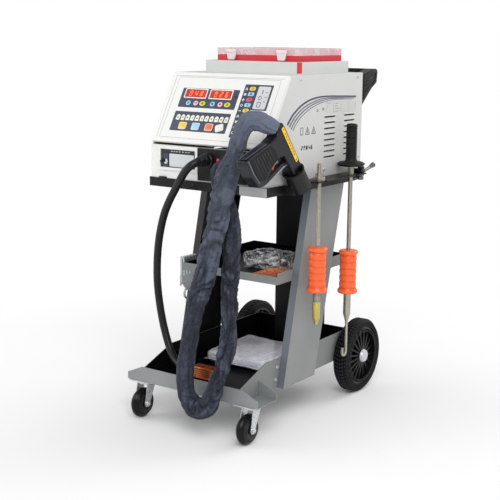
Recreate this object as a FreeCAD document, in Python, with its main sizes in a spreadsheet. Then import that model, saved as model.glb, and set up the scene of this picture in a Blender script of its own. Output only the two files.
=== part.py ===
import FreeCAD
import Part
import Sketcher
import math
import os
import re

# Spot welder on its trolley. Millimetres, +Z up, the machine faces -Y.
# X is 0 on the trolley's centre plane and Y is 0 over the front caster wheels until
# row_x and row_y move everything onto the middle of the machine's own box.

Vector = FreeCAD.Vector

SIZES = [
    # moves of the whole machine onto its middle
    ("row_x", 0), ("row_y", 0),
    # shared clearances
    ("sheet_wall", 2), ("overrun", 1), ("rest_gap", 0.3), ("turn_gap", 0.05),
    ("stand_off", 0.1),
    # bottom tray and front beam
    ("beam_half", 198), ("beam_flat_half", 152), ("beam_front_y", -11),
    ("beam_rear_y", 70), ("beam_low_z", 96), ("beam_top_z", 134), ("beam_tip_z", 114),
    ("tray_half", 146), ("tray_rear_y", 495), ("tray_slope_y", 97),
    ("tray_wall_top_z", 172),
    # side columns
    ("column_half", 166), ("column_base_z", 97), ("column_base_front_y", 147),
    ("column_base_rear_y", 291), ("column_top_front_y", 257), ("column_top_rear_y", 416),
    # rear upright
    ("upright_half", 72), ("upright_depth", 28),
    # middle shelf
    ("mid_front_y", 142), ("mid_low_z", 356), ("mid_side_height", 28),
    ("mid_front_height", 20),
    # top shelf
    ("shelf_half", 174), ("shelf_front_y", 51), ("shelf_rear_y", 497),
    ("shelf_low_z", 581), ("shelf_lip", 22),
    # rear wheels and axle
    ("axle_y", 507), ("axle_radius", 10), ("wheel_radius", 99.5), ("wheel_width", 38),
    ("wheel_face_x", 187), ("rim_radius", 79), ("hub_radius", 17),
    ("hub_inset", 2), ("web_width", 6), ("spoke_width", 4.5), ("spoke_depth", 24),
    ("spoke_count", 18), ("rim_band", 5), ("cap_radius", 16), ("cap_height", 5),
    ("tread_count", 36), ("tread_depth", 2.5), ("tread_gap_share", 0.3),
    ("ear_x", 112), ("ear_wall", 4), ("ear_reach", 16), ("ear_foot", 22),
    # casters
    ("caster_x", 161), ("caster_pivot_y", 17), ("caster_trail", 17),
    ("caster_wheel_radius", 37.5), ("caster_wheel_width", 24), ("caster_tread_round", 8),
    ("caster_hub_radius", 11), ("caster_hub_face", 29),
    ("caster_plate", 60), ("caster_plate_wall", 2.5), ("race_radius", 21), ("race_height", 6),
    ("kingpin_radius", 6), ("fork_half", 17.5), ("fork_wall", 2), ("fork_crown_radius", 20),
    ("fork_foot_radius", 9), ("caster_axle_radius", 4), ("axle_head_radius", 6.5),
    ("axle_head_height", 3.5),
    # frame bolts
    ("bolt_radius", 4), ("bolt_head_height", 3.5),
    # welder casing
    ("casing_half", 169.5), ("casing_rear_y", 491), ("casing_front_y", 53),
    ("panel_low_z", 692), ("panel_length", 188), ("panel_angle", 60), ("panel_wall", 8),
    ("front_top_z", 683), ("front_flange", 12), ("base_wall", 2), ("rear_wall", 2),
    ("membrane_inset_x", 10), ("membrane_inset", 9), ("membrane_depth", 2.5),
    ("membrane_wall", 1.5),
    ("window_width", 62), ("window_height", 21), ("window_rise", 121), ("window_x", -82),
    ("window_pitch", 75), ("window_wall", 1.6),
    ("louvre_length", 52), ("louvre_height", 3.6), ("louvre_pitch", 14),
    ("louvre_count", 8), ("louvre_low_z", 651), ("louvre_front_y", 306),
    ("louvre_column_pitch", 96), ("rear_louvre_count", 6),
    ("screw_radius", 3.6), ("screw_head", 1.6),
    ("screw_front_y", 193), ("screw_high_z", 844), ("screw_rear_y", 464),
    ("screw_low_z", 622), ("screw_mid_y", 307),
    # breaker and sockets on the lower front
    ("breaker_x", -86), ("breaker_z", 652), ("breaker_width", 120), ("breaker_height", 58),
    ("breaker_frame_band", 7), ("breaker_frame_depth", 3), ("breaker_body_depth", 60),
    ("label_width", 74), ("label_height", 32), ("label_raise", 1.2),
    ("toggle_x", -128), ("toggle_z", 650), ("toggle_width", 7), ("toggle_length", 14),
    ("toggle_root", 8), ("toggle_angle", 16), ("toggle_slot_height", 24), ("toggle_pin_radius", 2),
    ("socket_panel_left_x", -25), ("socket_panel_right_x", 128), ("socket_panel_low_z", 606),
    ("socket_panel_wall", 3),
    ("earth_socket_x", 6), ("earth_socket_z", 656), ("earth_socket_radius", 17),
    ("earth_socket_reach", 14),
    ("gun_socket_x", 68), ("gun_socket_z", 648), ("gun_socket_radius", 28),
    ("gun_socket_reach", 10),
    # rear of the casing
    ("handle_reach", 79), ("handle_cheek", 22), ("handle_top_z", 863),
    ("handle_low_z", 772), ("handle_bar_radius", 13),
    ("inlet_radius", 14), ("inlet_reach", 16), ("inlet_z", 640), ("inlet_x", -110),
    # inside the casing
    ("core_width", 150), ("core_depth", 90), ("core_height", 150), ("core_limb", 36),
    ("core_y", 340), ("coil_gap", 1), ("coil_wall", 16), ("busbar_width", 34),
    ("busbar_wall", 8), ("sink_width", 70), ("sink_depth", 100), ("sink_height", 60),
    ("fin_count", 7), ("fin_wall", 3), ("board_width", 220), ("board_height", 110),
    ("board_wall", 2), ("board_gap", 12),
    # tray on the casing and the case in it
    ("top_tray_half", 139), ("top_tray_front_y", 233), ("top_tray_rear_y", 468),
    ("top_tray_height", 29), ("top_tray_flange", 20),
    ("case_half", 121), ("case_front_y", 258), ("case_rear_y", 463), ("case_base_height", 41),
    ("case_lid_height", 17), ("case_wall", 2), ("case_hinge_radius", 3.5),
    ("latch_x", 75), ("latch_width", 30), ("latch_height", 26), ("latch_wall", 3),
    # tool bracket, gun cup and clamp lever
    ("bracket_front_y", 196), ("bracket_rear_y", 428), ("bracket_reach", 50),
    ("bracket_wall", 3), ("bracket_top_z", 607),
    ("tool_x", 205), ("left_tool_y", 228), ("right_tool_y", 380),
    ("cup_radius", 25.5), ("cup_wall", 3), ("cup_length", 56), ("cup_floor", 4),
    ("cup_lug_width", 30),
    ("lever_y", 440), ("lever_z", 600), ("lever_hub_radius", 11),
    ("lever_hub_height", 16), ("lever_arm_radius", 4), ("lever_arm_length", 58),
    ("lever_knob_radius", 7), ("lever_knob_length", 22), ("lever_angle", 14),
    # slide hammers
    ("rod_radius", 5.5), ("weight_length", 112), ("weight_body_radius", 21.5),
    ("weight_flange_radius", 25), ("weight_flange", 9), ("weight_rib", 2.2),
    ("weight_rib_count", 8), ("weight_bore_gap", 0.08),
    ("left_weight_low_z", 332), ("right_weight_low_z", 301),
    ("stub_top_z", 648), ("nut_radius", 10), ("nut_height", 9), ("collar_radius", 15),
    ("collar_height", 8),
    ("chuck_radius", 8.5), ("chuck_length", 24), ("tip_radius", 10), ("tip_length", 40),
    ("tip_cone", 18), ("tip_end_radius", 4),
    ("spindle_radius", 9.5), ("spindle_length", 54), ("spindle_cone", 22),
    ("shank_radius", 3.6), ("shank_low_z", 146), ("hook_bend_radius", 9),
    ("hook_rise", 12),
    ("grip_radius", 13.5), ("grip_top_z", 729), ("grip_rib", 1), ("grip_rib_count", 9),
    ("guard_radius", 34.5), ("guard_low_z", 628), ("guard_thick", 11),
    ("neck_radius", 8),
    # gun
    ("gun_x", 200), ("gun_y", 52), ("gun_z", 755.5), ("gun_angle", 51),
    ("gun_half", 15), ("guard_depth", 14), ("gun_edge", 5),
    ("gun_body_length", 136), ("gun_body_depth", 40), ("gun_rear", 5),
    ("gun_tail_length", 38), ("gun_tail_tilt", 20),
    ("boot_radius", 15), ("boot_bend_radius", 24), ("boot_turn", 50),
    ("grip_length", 162), ("grip_near", 48), ("grip_rear", 31), ("guard_bar", 9),
    ("nose_radius", 14), ("nose_length", 34), ("nose_across", 20),
    ("electrode_radius", 6), ("electrode_length", 10),
    ("trigger_wide", 9), ("trigger_u", 46), ("trigger_v", 48), ("trigger_reach", 36),
    ("trigger_pin_radius", 2.5), ("trigger_gap", 0.6),
    # cords
    ("gun_cord_radius", 18), ("gun_cord_stub", 17), ("earth_cord_radius", 9.5),
    ("earth_cord_stub", 20),
    # copper block, claw puller and what lies on the shelves
    ("block_x", 30), ("block_y", 14), ("block_width", 64), ("block_depth", 26),
    ("block_height", 28), ("block_low_z", 134.3), ("block_hole_radius", 5),
    ("claw_finger", 6), ("claw_finger_pitch", 12), ("claw_finger_count", 5),
    ("claw_wall", 5), ("claw_plate_height", 16), ("claw_drop", 50), ("claw_yoke", 24),
    ("claw_hook", 8),
    ("ring_radius", 13), ("ring_wire", 3),
    ("stud_radius", 4), ("stud_length", 100), ("stud_count", 11), ("stud_rows", 2),
    ("bag_width", 150), ("bag_depth", 96), ("bag_height", 46),
    ("manual_width", 210), ("manual_depth", 210), ("manual_height", 30),
]

doc = FreeCAD.newDocument("spot_welder_trolley")
sheet = doc.addObject("Spreadsheet::Sheet", "Sizes")
ROWS = {}
for row, (alias, value) in enumerate(SIZES, start=1):
    sheet.set("A%d" % row, alias)
    sheet.set("B%d" % row, str(value))
    sheet.setAlias("B%d" % row, alias)
    ROWS[alias] = "B%d" % row
doc.recompute()

PIECES = []


def bound(text):
    """An expression in the sheet's aliases, as the document wants it."""
    return re.sub(r"[a-z][a-z0-9_]*", lambda found: "Sizes." + found.group(0)
                  if found.group(0) in ROWS else found.group(0), text)


def bind(item, prop, text):
    item.setExpression(prop, bound(text))


def place(item, x="0", y="0", z="0", rotation=None):
    """Put an object at x, y, z of the trolley, moved with the whole machine."""
    if rotation is not None:
        item.Placement = FreeCAD.Placement(Vector(), rotation)
    bind(item, "Placement.Base.x", "row_x + (%s)" % x)
    bind(item, "Placement.Base.y", "row_y + (%s)" % y)
    bind(item, "Placement.Base.z", z)
    return item


TURNS = {
    "+Z": FreeCAD.Rotation(),
    "-Z": FreeCAD.Rotation(Vector(1, 0, 0), 180),
    "+X": FreeCAD.Rotation(Vector(0, 1, 0), 90),
    "-X": FreeCAD.Rotation(Vector(0, 1, 0), -90),
    "+Y": FreeCAD.Rotation(Vector(1, 0, 0), -90),
    "-Y": FreeCAD.Rotation(Vector(1, 0, 0), 90),
}


def box(name, x1, x2, y1, y2, z1, z2):
    """A box between two corners."""
    item = doc.addObject("Part::Box", name)
    bind(item, "Length", "(%s) - (%s)" % (x2, x1))
    bind(item, "Width", "(%s) - (%s)" % (y2, y1))
    bind(item, "Height", "(%s) - (%s)" % (z2, z1))
    return place(item, x1, y1, z1)


def cylinder(name, radius, length, x, y, z, way="+Z"):
    item = doc.addObject("Part::Cylinder", name)
    bind(item, "Radius", radius)
    bind(item, "Height", length)
    return place(item, x, y, z, TURNS[way])


def fuse(name, *items):
    item = doc.addObject("Part::MultiFuse", name)
    item.Shapes = list(items)
    return item


def cut(name, base, *tools):
    tool = tools[0] if len(tools) == 1 else fuse(name + "_tools", *tools)
    item = doc.addObject("Part::Cut", name)
    item.Base = base
    item.Tool = tool
    return item


def group(name, *items):
    """Several separate solids in one node."""
    item = doc.addObject("Part::Compound", name)
    item.Links = list(items)
    return item


def node(item, label):
    item.Label = label
    PIECES.append(item)
    return item


def origin_plane(body, role):
    return [plane for plane in body.Origin.OriginFeatures if plane.Role == role][0]


def outline_sketch(body, name, role, points):
    """A closed outline on a plane of the body; every corner is bound to the sheet."""
    sketch = body.newObject("Sketcher::SketchObject", name)
    sketch.AttachmentSupport = [(origin_plane(body, role), "")]
    sketch.MapMode = "FlatFace"
    count = len(points)
    start = [Vector(math.cos(2 * math.pi * i / count), math.sin(2 * math.pi * i / count), 0)
             for i in range(count)]
    for i in range(count):
        sketch.addGeometry(Part.LineSegment(start[i], start[(i + 1) % count]))
    for i in range(count):
        sketch.addConstraint(Sketcher.Constraint("Coincident", i, 2, (i + 1) % count, 1))
    for i, (across, along) in enumerate(points):
        for kind, text in (("DistanceX", across), ("DistanceY", along)):
            index = sketch.addConstraint(Sketcher.Constraint(kind, -1, 1, i, 1, i + 1.0))
            sketch.setExpression("Constraints[%d]" % index, bound(text))
    return sketch


def body_at(name, x="0", y="0", z="0", rotation=None):
    body = doc.addObject("PartDesign::Body", name)
    return place(body, x, y, z, rotation)


def pad(body, sketch, length, both_ways=False, back=False):
    feature = body.newObject("PartDesign::Pad", sketch.Name + "_pad")
    feature.Profile = sketch
    feature.SideType = "Symmetric" if both_ways else "One side"
    feature.Reversed = back
    bind(feature, "Length", length)
    return feature


def pocket(body, sketch, length, both_ways=False, back=False):
    feature = body.newObject("PartDesign::Pocket", sketch.Name + "_pocket")
    feature.Profile = sketch
    feature.SideType = "Symmetric" if both_ways else "One side"
    feature.Reversed = back
    bind(feature, "Length", length)
    return feature


def turned(name, points, x="0", y="0", z="0", rotation=None):
    """A body turned about its own Z axis from an outline of (radius, height)."""
    body = body_at(name, x, y, z, rotation)
    sketch = outline_sketch(body, name + "_outline", "XZ_Plane", points)
    feature = body.newObject("PartDesign::Revolution", name + "_turn")
    feature.Profile = sketch
    feature.ReferenceAxis = (sketch, ["V_Axis"])
    feature.Angle = 360
    return body


def folded(name, role, points, length, x="0", y="0", z="0"):
    """A body padded evenly both ways from an outline on one of its planes."""
    body = body_at(name, x, y, z)
    pad(body, outline_sketch(body, name + "_outline", role, points), length, True)
    return body


def hollow(body, name, role, points, length):
    pocket(body, outline_sketch(body, name, role, points), length, True)
    return body


def real(item, shape):
    """A shape made with Part's own functions, placed with the whole machine."""
    item.Shape = shape
    return place(item)


# Bottom tray and the front beam that carries the casters

tray_low = "beam_low_z + sheet_wall"
tray_front = "beam_front_y + sheet_wall + rest_gap"
tray = folded("tray_body", "YZ_Plane", [
    (tray_front, tray_low), (tray_front, "beam_top_z"), ("tray_slope_y", "tray_wall_top_z"),
    ("tray_rear_y", "tray_wall_top_z"), ("tray_rear_y", tray_low)], "tray_half * 2")
hollow(tray, "tray_inside", "YZ_Plane", [
    (tray_front + " - overrun", tray_low + " + sheet_wall"),
    (tray_front + " - overrun", "tray_wall_top_z + overrun"),
    ("tray_rear_y - sheet_wall", "tray_wall_top_z + overrun"),
    ("tray_rear_y - sheet_wall", tray_low + " + sheet_wall")],
    "(tray_half - sheet_wall) * 2")
node(tray, "bottom_tray")

beam = body_at("beam_body", "0", "beam_rear_y")
pad(beam, outline_sketch(beam, "beam_face", "XZ_Plane", [
    ("-beam_half", "beam_low_z"), ("beam_half", "beam_low_z"), ("beam_half", "beam_tip_z"),
    ("beam_flat_half", "beam_top_z"), ("-beam_flat_half", "beam_top_z"),
    ("-beam_half", "beam_tip_z")]), "beam_rear_y - beam_front_y")
hollow(beam, "beam_channel", "YZ_Plane", [
    ("-sheet_wall", "beam_low_z + sheet_wall"), ("-sheet_wall", "beam_top_z + overrun"),
    ("beam_front_y - beam_rear_y + sheet_wall", "beam_top_z + overrun"),
    ("beam_front_y - beam_rear_y + sheet_wall", "beam_low_z + sheet_wall")],
    "(beam_half + overrun) * 2")
hollow(beam, "beam_rear_notch", "YZ_Plane", [
    ("-sheet_wall - overrun", "beam_low_z + sheet_wall"),
    ("-sheet_wall - overrun", "beam_top_z + overrun"), ("overrun", "beam_top_z + overrun"),
    ("overrun", "beam_low_z + sheet_wall")], "(tray_half + rest_gap) * 2")
node(beam, "front_beam")


# Side columns: channels whose flanges point inwards

def column_y(edge, height):
    """Where a column's front or rear edge is at some height."""
    return ("(column_base_{0}_y + (column_top_{0}_y - column_base_{0}_y)"
            " * (({1}) - column_base_z) / (shelf_low_z - column_base_z))").format(edge, height)


def column(name, way):
    low = "column_base_z"
    top = "shelf_low_z"
    body = body_at(name + "_body", "tray_half * %d" % way)
    sketch = outline_sketch(body, name + "_side", "YZ_Plane", [
        ("column_base_front_y", low), ("column_base_rear_y", low),
        ("column_top_rear_y", top), ("column_top_front_y", top)])
    pad(body, sketch, "column_half - tray_half", False, way < 0)
    under = low + " - overrun"
    over = top + " + overrun"
    inside = outline_sketch(body, name + "_channel", "YZ_Plane", [
        (column_y("front", under) + " + sheet_wall", under),
        (column_y("rear", under) + " - sheet_wall", under),
        (column_y("rear", over) + " - sheet_wall", over),
        (column_y("front", over) + " + sheet_wall", over)])
    pocket(body, inside, "column_half - tray_half - sheet_wall", False, way > 0)
    return body


node(column("left_column", -1), "left_column")
node(column("right_column", 1), "right_column")

upright_front = "tray_rear_y - sheet_wall - upright_depth"
upright = cut(
    "upright",
    box("upright_block", "-upright_half", "upright_half", upright_front,
        "tray_rear_y - sheet_wall", tray_low + " + sheet_wall", "shelf_low_z"),
    box("upright_channel", "-upright_half + sheet_wall", "upright_half - sheet_wall",
        upright_front + " + sheet_wall", "tray_rear_y", "beam_low_z",
        "shelf_low_z + overrun"))
node(upright, "rear_upright")


# Shelves

def pan(name, half, front, rear, low, height, front_height):
    """A tray folded from sheet, its front wall lower than its other three."""
    outer = box(name + "_block", "-" + half, half, front, rear, low, low + " + " + height)
    inner = box(name + "_inside", "-%s + sheet_wall" % half, half + " - sheet_wall",
                front + " + sheet_wall", "(%s) - sheet_wall" % rear, low + " + sheet_wall",
                "%s + %s + overrun" % (low, height))
    if front_height == height:
        return cut(name, outer, inner)
    step = box(name + "_front_step", "-%s - overrun" % half, half + " + overrun",
               front + " - overrun", front + " + sheet_wall",
               low + " + " + front_height, "%s + %s + overrun" % (low, height))
    return cut(name, outer, inner, step)


node(pan("mid_pan", "tray_half", "mid_front_y", upright_front, "mid_low_z",
         "mid_side_height", "mid_front_height"), "mid_shelf")
node(pan("top_pan", "shelf_half", "shelf_front_y", "shelf_rear_y", "shelf_low_z",
         "shelf_lip", "shelf_lip"), "top_shelf")

# Rear axle, its ears and the two wheels

axle_z = "wheel_radius"
node(cylinder("axle", "axle_radius", "(wheel_face_x - cap_height - rest_gap) * 2",
              "-wheel_face_x + cap_height + rest_gap", "axle_y", axle_z, "+X"), "rear_axle")


def axle_ear(name, x):
    """An angle under the tray's rear wall that holds the axle."""
    plate = box(name + "_plate", x, x + " + ear_wall", "tray_rear_y",
                "axle_y + ear_reach", axle_z + " - ear_reach", "tray_wall_top_z - ear_reach")
    foot = box(name + "_foot", x, x + " + ear_foot", "tray_rear_y",
               "tray_rear_y + sheet_wall", axle_z + " + ear_reach",
               "tray_wall_top_z - ear_reach")
    bore = cylinder(name + "_bore", "axle_radius", "ear_wall * 3", x + " - ear_wall",
                    "axle_y", axle_z, "+X")
    return cut(name, fuse(name + "_angle", plate, foot), bore)


node(group("ears", axle_ear("left_ear", "-ear_x"), axle_ear("right_ear", "ear_x - ear_wall")),
     "axle_ears")


def wheel_body(name, way):
    """A body whose Z axis is the axle, pointing out of the machine."""
    return body_at(name, "(wheel_face_x - wheel_width) * %d" % way, "axle_y", axle_z,
                   TURNS["+X" if way > 0 else "-X"])


def turn_sketch(body, sketch):
    feature = body.newObject("PartDesign::Revolution", sketch.Name + "_turn")
    feature.Profile = sketch
    feature.ReferenceAxis = (sketch, ["V_Axis"])
    feature.Angle = 360
    return feature


def around(body, feature, count):
    """Repeat a feature evenly about the body's Z axis."""
    doc.recompute()
    pattern = body.newObject("PartDesign::PolarPattern", feature.Name + "_pattern")
    pattern.Originals = [feature]
    axis = [line for line in body.Origin.OriginFeatures if line.Role == "Z_Axis"][0]
    pattern.Axis = (axis, [""])
    pattern.Angle = 360
    bind(pattern, "Occurrences", count)
    body.Tip = pattern
    return pattern


def rear_tyre(name, way):
    body = wheel_body(name, way)
    shoulder = "tread_depth * 3"
    turn_sketch(body, outline_sketch(body, name + "_section", "XZ_Plane", [
        ("rim_radius", "0"), ("wheel_radius - %s" % shoulder, "0"),
        ("wheel_radius", shoulder), ("wheel_radius", "wheel_width - %s" % shoulder),
        ("wheel_radius - %s" % shoulder, "wheel_width"), ("rim_radius", "wheel_width")]))
    groove = outline_sketch(body, name + "_groove", "XZ_Plane", [
        ("wheel_radius - tread_depth", "-overrun"), ("wheel_radius + overrun", "-overrun"),
        ("wheel_radius + overrun", "wheel_width * tread_gap_share"),
        ("wheel_radius - tread_depth", "wheel_width * tread_gap_share")])
    cut_width = "2 * 3.14159 * wheel_radius / tread_count * tread_gap_share"
    low = pocket(body, groove, cut_width, True)
    around(body, low, "tread_count")
    return body


def rear_rim(name, way):
    """A moulded rim: hub, web, radial ribs and the band that the tyre sits on."""
    body = wheel_body(name, way)
    middle = "wheel_width / 2"
    turn_sketch(body, outline_sketch(body, name + "_section", "XZ_Plane", [
        ("axle_radius + turn_gap", "hub_inset"), ("hub_radius", "hub_inset"),
        ("hub_radius", middle + " - web_width / 2"),
        ("rim_radius - rim_band", middle + " - web_width / 2"),
        ("rim_radius - rim_band", "rim_band / 2"), ("rim_radius", "rim_band / 2"),
        ("rim_radius", "wheel_width - rim_band / 2"),
        ("rim_radius - rim_band", "wheel_width - rim_band / 2"),
        ("rim_radius - rim_band", middle + " + web_width / 2"),
        ("hub_radius", middle + " + web_width / 2"),
        ("hub_radius", "wheel_width - cap_height"),
        ("axle_radius + turn_gap", "wheel_width - cap_height")]))
    rib = outline_sketch(body, name + "_rib", "XZ_Plane", [
        ("hub_radius - overrun", "(wheel_width - spoke_depth) / 2 - rim_band"),
        ("rim_radius - rim_band / 2", "(wheel_width - spoke_depth) / 2 + rim_band"),
        ("rim_radius - rim_band / 2", "(wheel_width + spoke_depth) / 2 - rim_band"),
        ("hub_radius - overrun", "(wheel_width + spoke_depth) / 2 + rim_band")])
    around(body, pad(body, rib, "spoke_width", True), "spoke_count")
    return body


def hub_cap(name, way):
    x = "(wheel_face_x - cap_height) * %d" % way
    return turned(name, [("0", "0"), ("cap_radius", "0"), ("cap_radius", "cap_height / 2"),
                         ("cap_radius * 0.7", "cap_height"), ("0", "cap_height")],
                  x, "axle_y", axle_z, TURNS["+X" if way > 0 else "-X"])


for side, way in (("left", -1), ("right", 1)):
    node(rear_tyre(side + "_tyre_body", way), "rear_tyre_" + side)
    node(group(side + "_rim_group", rear_rim(side + "_rim_body", way),
               hub_cap(side + "_cap_body", way)), "rear_rim_" + side)

# Swivel casters under the front beam

plate_low = "beam_low_z - caster_plate_wall"
race_low = plate_low + " - race_height"
crown_top = race_low + " - rest_gap"


def caster_plate(name, x):
    plate = box(name + "_plate", x + " - caster_plate / 2", x + " + caster_plate / 2",
                "caster_pivot_y + beam_front_y / 2 + rest_gap - caster_plate / 2 + bolt_radius",
                "caster_pivot_y + beam_front_y / 2 + caster_plate / 2 + bolt_radius",
                plate_low, "beam_low_z")
    race = cylinder(name + "_race", "race_radius", "race_height + overrun", x,
                    "caster_pivot_y", race_low)
    bore = cylinder(name + "_bore", "kingpin_radius + turn_gap",
                    "race_height + caster_plate_wall + overrun",
                    x, "caster_pivot_y", race_low + " - overrun")
    return cut(name, fuse(name + "_solid", plate, race), bore)


def caster_fork(name, x):
    """A bent fork under its crown, with the kingpin and the wheel's axle bolt."""
    crown = cylinder(name + "_crown", "fork_crown_radius", "fork_wall", x,
                     "caster_pivot_y", crown_top + " - fork_wall")
    kingpin = cylinder(name + "_kingpin", "kingpin_radius",
                       "race_height + rest_gap + fork_wall", x, "caster_pivot_y",
                       crown_top + " - fork_wall")
    legs = folded(name + "_legs", "YZ_Plane", [
        ("-fork_crown_radius * 0.8", "0"),
        ("fork_crown_radius * 0.8", "0"),
        ("fork_foot_radius - caster_trail",
         "caster_wheel_radius - (%s)" % crown_top),
        ("fork_foot_radius / 2 - caster_trail",
         "caster_wheel_radius - fork_foot_radius - (%s)" % crown_top),
        ("-fork_foot_radius / 2 - caster_trail",
         "caster_wheel_radius - fork_foot_radius - (%s)" % crown_top),
        ("-fork_foot_radius - caster_trail",
         "caster_wheel_radius - (%s)" % crown_top)],
        "fork_half * 2", x, "caster_pivot_y", crown_top)
    hollow(legs, name + "_gap", "YZ_Plane", [
        ("-fork_crown_radius * 3", "-fork_wall"), ("fork_crown_radius * 3", "-fork_wall"),
        ("fork_crown_radius * 3", "-caster_wheel_radius * 2"),
        ("-fork_crown_radius * 3", "-caster_wheel_radius * 2")],
        "(fork_half - fork_wall) * 2")
    bolt = cylinder(name + "_bolt", "caster_axle_radius", "fork_half * 2",
                    x + " - fork_half", "caster_pivot_y - caster_trail",
                    "caster_wheel_radius", "+X")
    heads = [
        cylinder(name + "_head_%d" % i, "axle_head_radius", "axle_head_height",
                 "%s + fork_half * %d" % (x, way), "caster_pivot_y - caster_trail",
                 "caster_wheel_radius", "+X" if way > 0 else "-X")
        for i, way in enumerate((-1, 1))]
    return fuse(name, crown, kingpin, legs, bolt, *heads)


def caster_wheel(name, x):
    half = "caster_wheel_width / 2"
    face = "caster_hub_face / 2"
    round_off = "caster_tread_round"
    return turned(name, [
        ("caster_axle_radius + turn_gap", "-" + face), ("caster_hub_radius", "-" + face),
        ("caster_hub_radius", "-" + half),
        ("caster_wheel_radius - " + round_off, "-" + half),
        ("caster_wheel_radius - %s * 0.3" % round_off, "%s * 0.7 - %s" % (round_off, half)),
        ("caster_wheel_radius", "%s * 1.2 - %s" % (round_off, half)),
        ("caster_wheel_radius", "%s - %s * 1.2" % (half, round_off)),
        ("caster_wheel_radius - %s * 0.3" % round_off, "%s - %s * 0.7" % (half, round_off)),
        ("caster_wheel_radius - " + round_off, half),
        ("caster_hub_radius", half), ("caster_hub_radius", face),
        ("caster_axle_radius + turn_gap", face)],
        x, "caster_pivot_y - caster_trail", "caster_wheel_radius", TURNS["+X"])


node(group("plates", caster_plate("left_plate", "-caster_x"),
           caster_plate("right_plate", "caster_x")), "caster_plates")
for side, x in (("left", "-caster_x"), ("right", "caster_x")):
    node(caster_fork(side + "_fork", x), "caster_fork_" + side)
    node(caster_wheel(side + "_roller", x), "caster_wheel_" + side)


# Bolt heads that hold the columns and shelves

def bolt_head(name, x, y, z, way):
    return cylinder(name, "bolt_radius", "bolt_head_height", x, y, z, way)


heads = []
for index, (height, edge) in enumerate((
        ("tray_wall_top_z - ear_foot", "front"), ("column_base_z + ear_foot", "front"),
        ("tray_wall_top_z - ear_foot", "rear"), ("column_base_z + ear_foot", "rear"))):
    shift = "- ear_foot" if edge == "front" else "+ ear_foot"
    for way in (-1, 1):
        heads.append(bolt_head("frame_bolt_%d_%d" % (index, way + 1),
                               "tray_half * %d" % way,
                               column_y(edge, height) + " %s / 2" % shift, height,
                               "+X" if way > 0 else "-X"))
for index, share in enumerate((-1, 1)):
    heads.append(bolt_head("upright_bolt_%d" % index, "upright_half * %d / 2" % share,
                           "tray_rear_y", "tray_wall_top_z - ear_foot", "+Y"))

# Welder casing: base, front panel, cover, slanted fascia and rear panel

base_z = "shelf_low_z + sheet_wall"
theta = "(panel_angle * 1deg)"


def on_panel_y(along, out):
    return "casing_front_y + (%s) * cos(%s) - (%s) * sin(%s)" % (along, theta, out, theta)


def on_panel_z(along, out):
    return "panel_low_z + (%s) * sin(%s) + (%s) * cos(%s)" % (along, theta, out, theta)


PANEL_TURN = FreeCAD.Rotation(Vector(1, 0, 0), sheet.panel_angle)


def panel_box(name, x1, x2, s1, s2, n1, n2):
    """A box in the slanted panel's own directions: across, along, outward."""
    item = doc.addObject("Part::Box", name)
    bind(item, "Length", "(%s) - (%s)" % (x2, x1))
    bind(item, "Width", "(%s) - (%s)" % (s2, s1))
    bind(item, "Height", "(%s) - (%s)" % (n2, n1))
    place(item, x1, on_panel_y(s1, n1), on_panel_z(s1, n1), PANEL_TURN)
    bind(item, "Placement.Rotation.Angle", theta)
    return item


cover_top = on_panel_z("panel_length", "0")
slope_foot = "(panel_low_z - panel_wall * cos({0})"\
    " - (panel_wall * sin({0}) - sheet_wall) * tan({0}))".format(theta)


cover_front = "casing_front_y + sheet_wall"
cover_low = base_z + " + base_wall"
cover = folded("cover_body", "YZ_Plane", [
    (cover_front, cover_low), (cover_front, slope_foot),
    (on_panel_y("panel_length", "-panel_wall"), on_panel_z("panel_length", "-panel_wall")),
    (on_panel_y("panel_length", "0"), cover_top), ("casing_rear_y - rear_wall", cover_top),
    ("casing_rear_y - rear_wall", cover_low)], "casing_half * 2")
hollow(cover, "cover_inside", "YZ_Plane", [
    (cover_front + " - overrun", cover_low + " - overrun"),
    (cover_front + " - overrun", slope_foot),
    (on_panel_y("panel_length - sheet_wall", "-panel_wall - overrun"),
     cover_top + " - sheet_wall"),
    ("casing_rear_y", cover_top + " - sheet_wall"),
    ("casing_rear_y", cover_low + " - overrun")],
    "(casing_half - sheet_wall) * 2")
slots = []
for column_index in range(2):
    for slot_index in range(int(sheet.louvre_count)):
        low = "louvre_low_z + louvre_pitch * %d" % slot_index
        start = "louvre_front_y + louvre_column_pitch * %d" % column_index
        slots.append(box("louvre_%d_%d" % (column_index, slot_index),
                         "-casing_half - overrun", "casing_half + overrun", start,
                         start + " + louvre_length", low, low + " + louvre_height"))
node(cut("cover", cover, *slots), "casing_cover")

base = fuse(
    "base",
    box("base_floor", "-casing_half", "casing_half", "casing_front_y",
        "casing_rear_y - rear_wall", base_z, base_z + " + base_wall"),
    box("base_front", "-casing_half", "casing_half", "casing_front_y",
        "casing_front_y + sheet_wall", base_z, "front_top_z"),
    box("base_front_flange", "-casing_half + sheet_wall", "casing_half - sheet_wall",
        "casing_front_y", "casing_front_y + front_flange", "front_top_z - sheet_wall",
        "front_top_z"))
breaker_hole = box("breaker_hole", "breaker_x - breaker_width / 2 + breaker_frame_band",
                   "breaker_x + breaker_width / 2 - breaker_frame_band",
                   "casing_front_y - overrun", "casing_front_y + sheet_wall + overrun",
                   "breaker_z - breaker_height / 2 + breaker_frame_band",
                   "breaker_z + breaker_height / 2 - breaker_frame_band")
node(cut("base_cut", base, breaker_hole), "base_pan")

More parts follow.
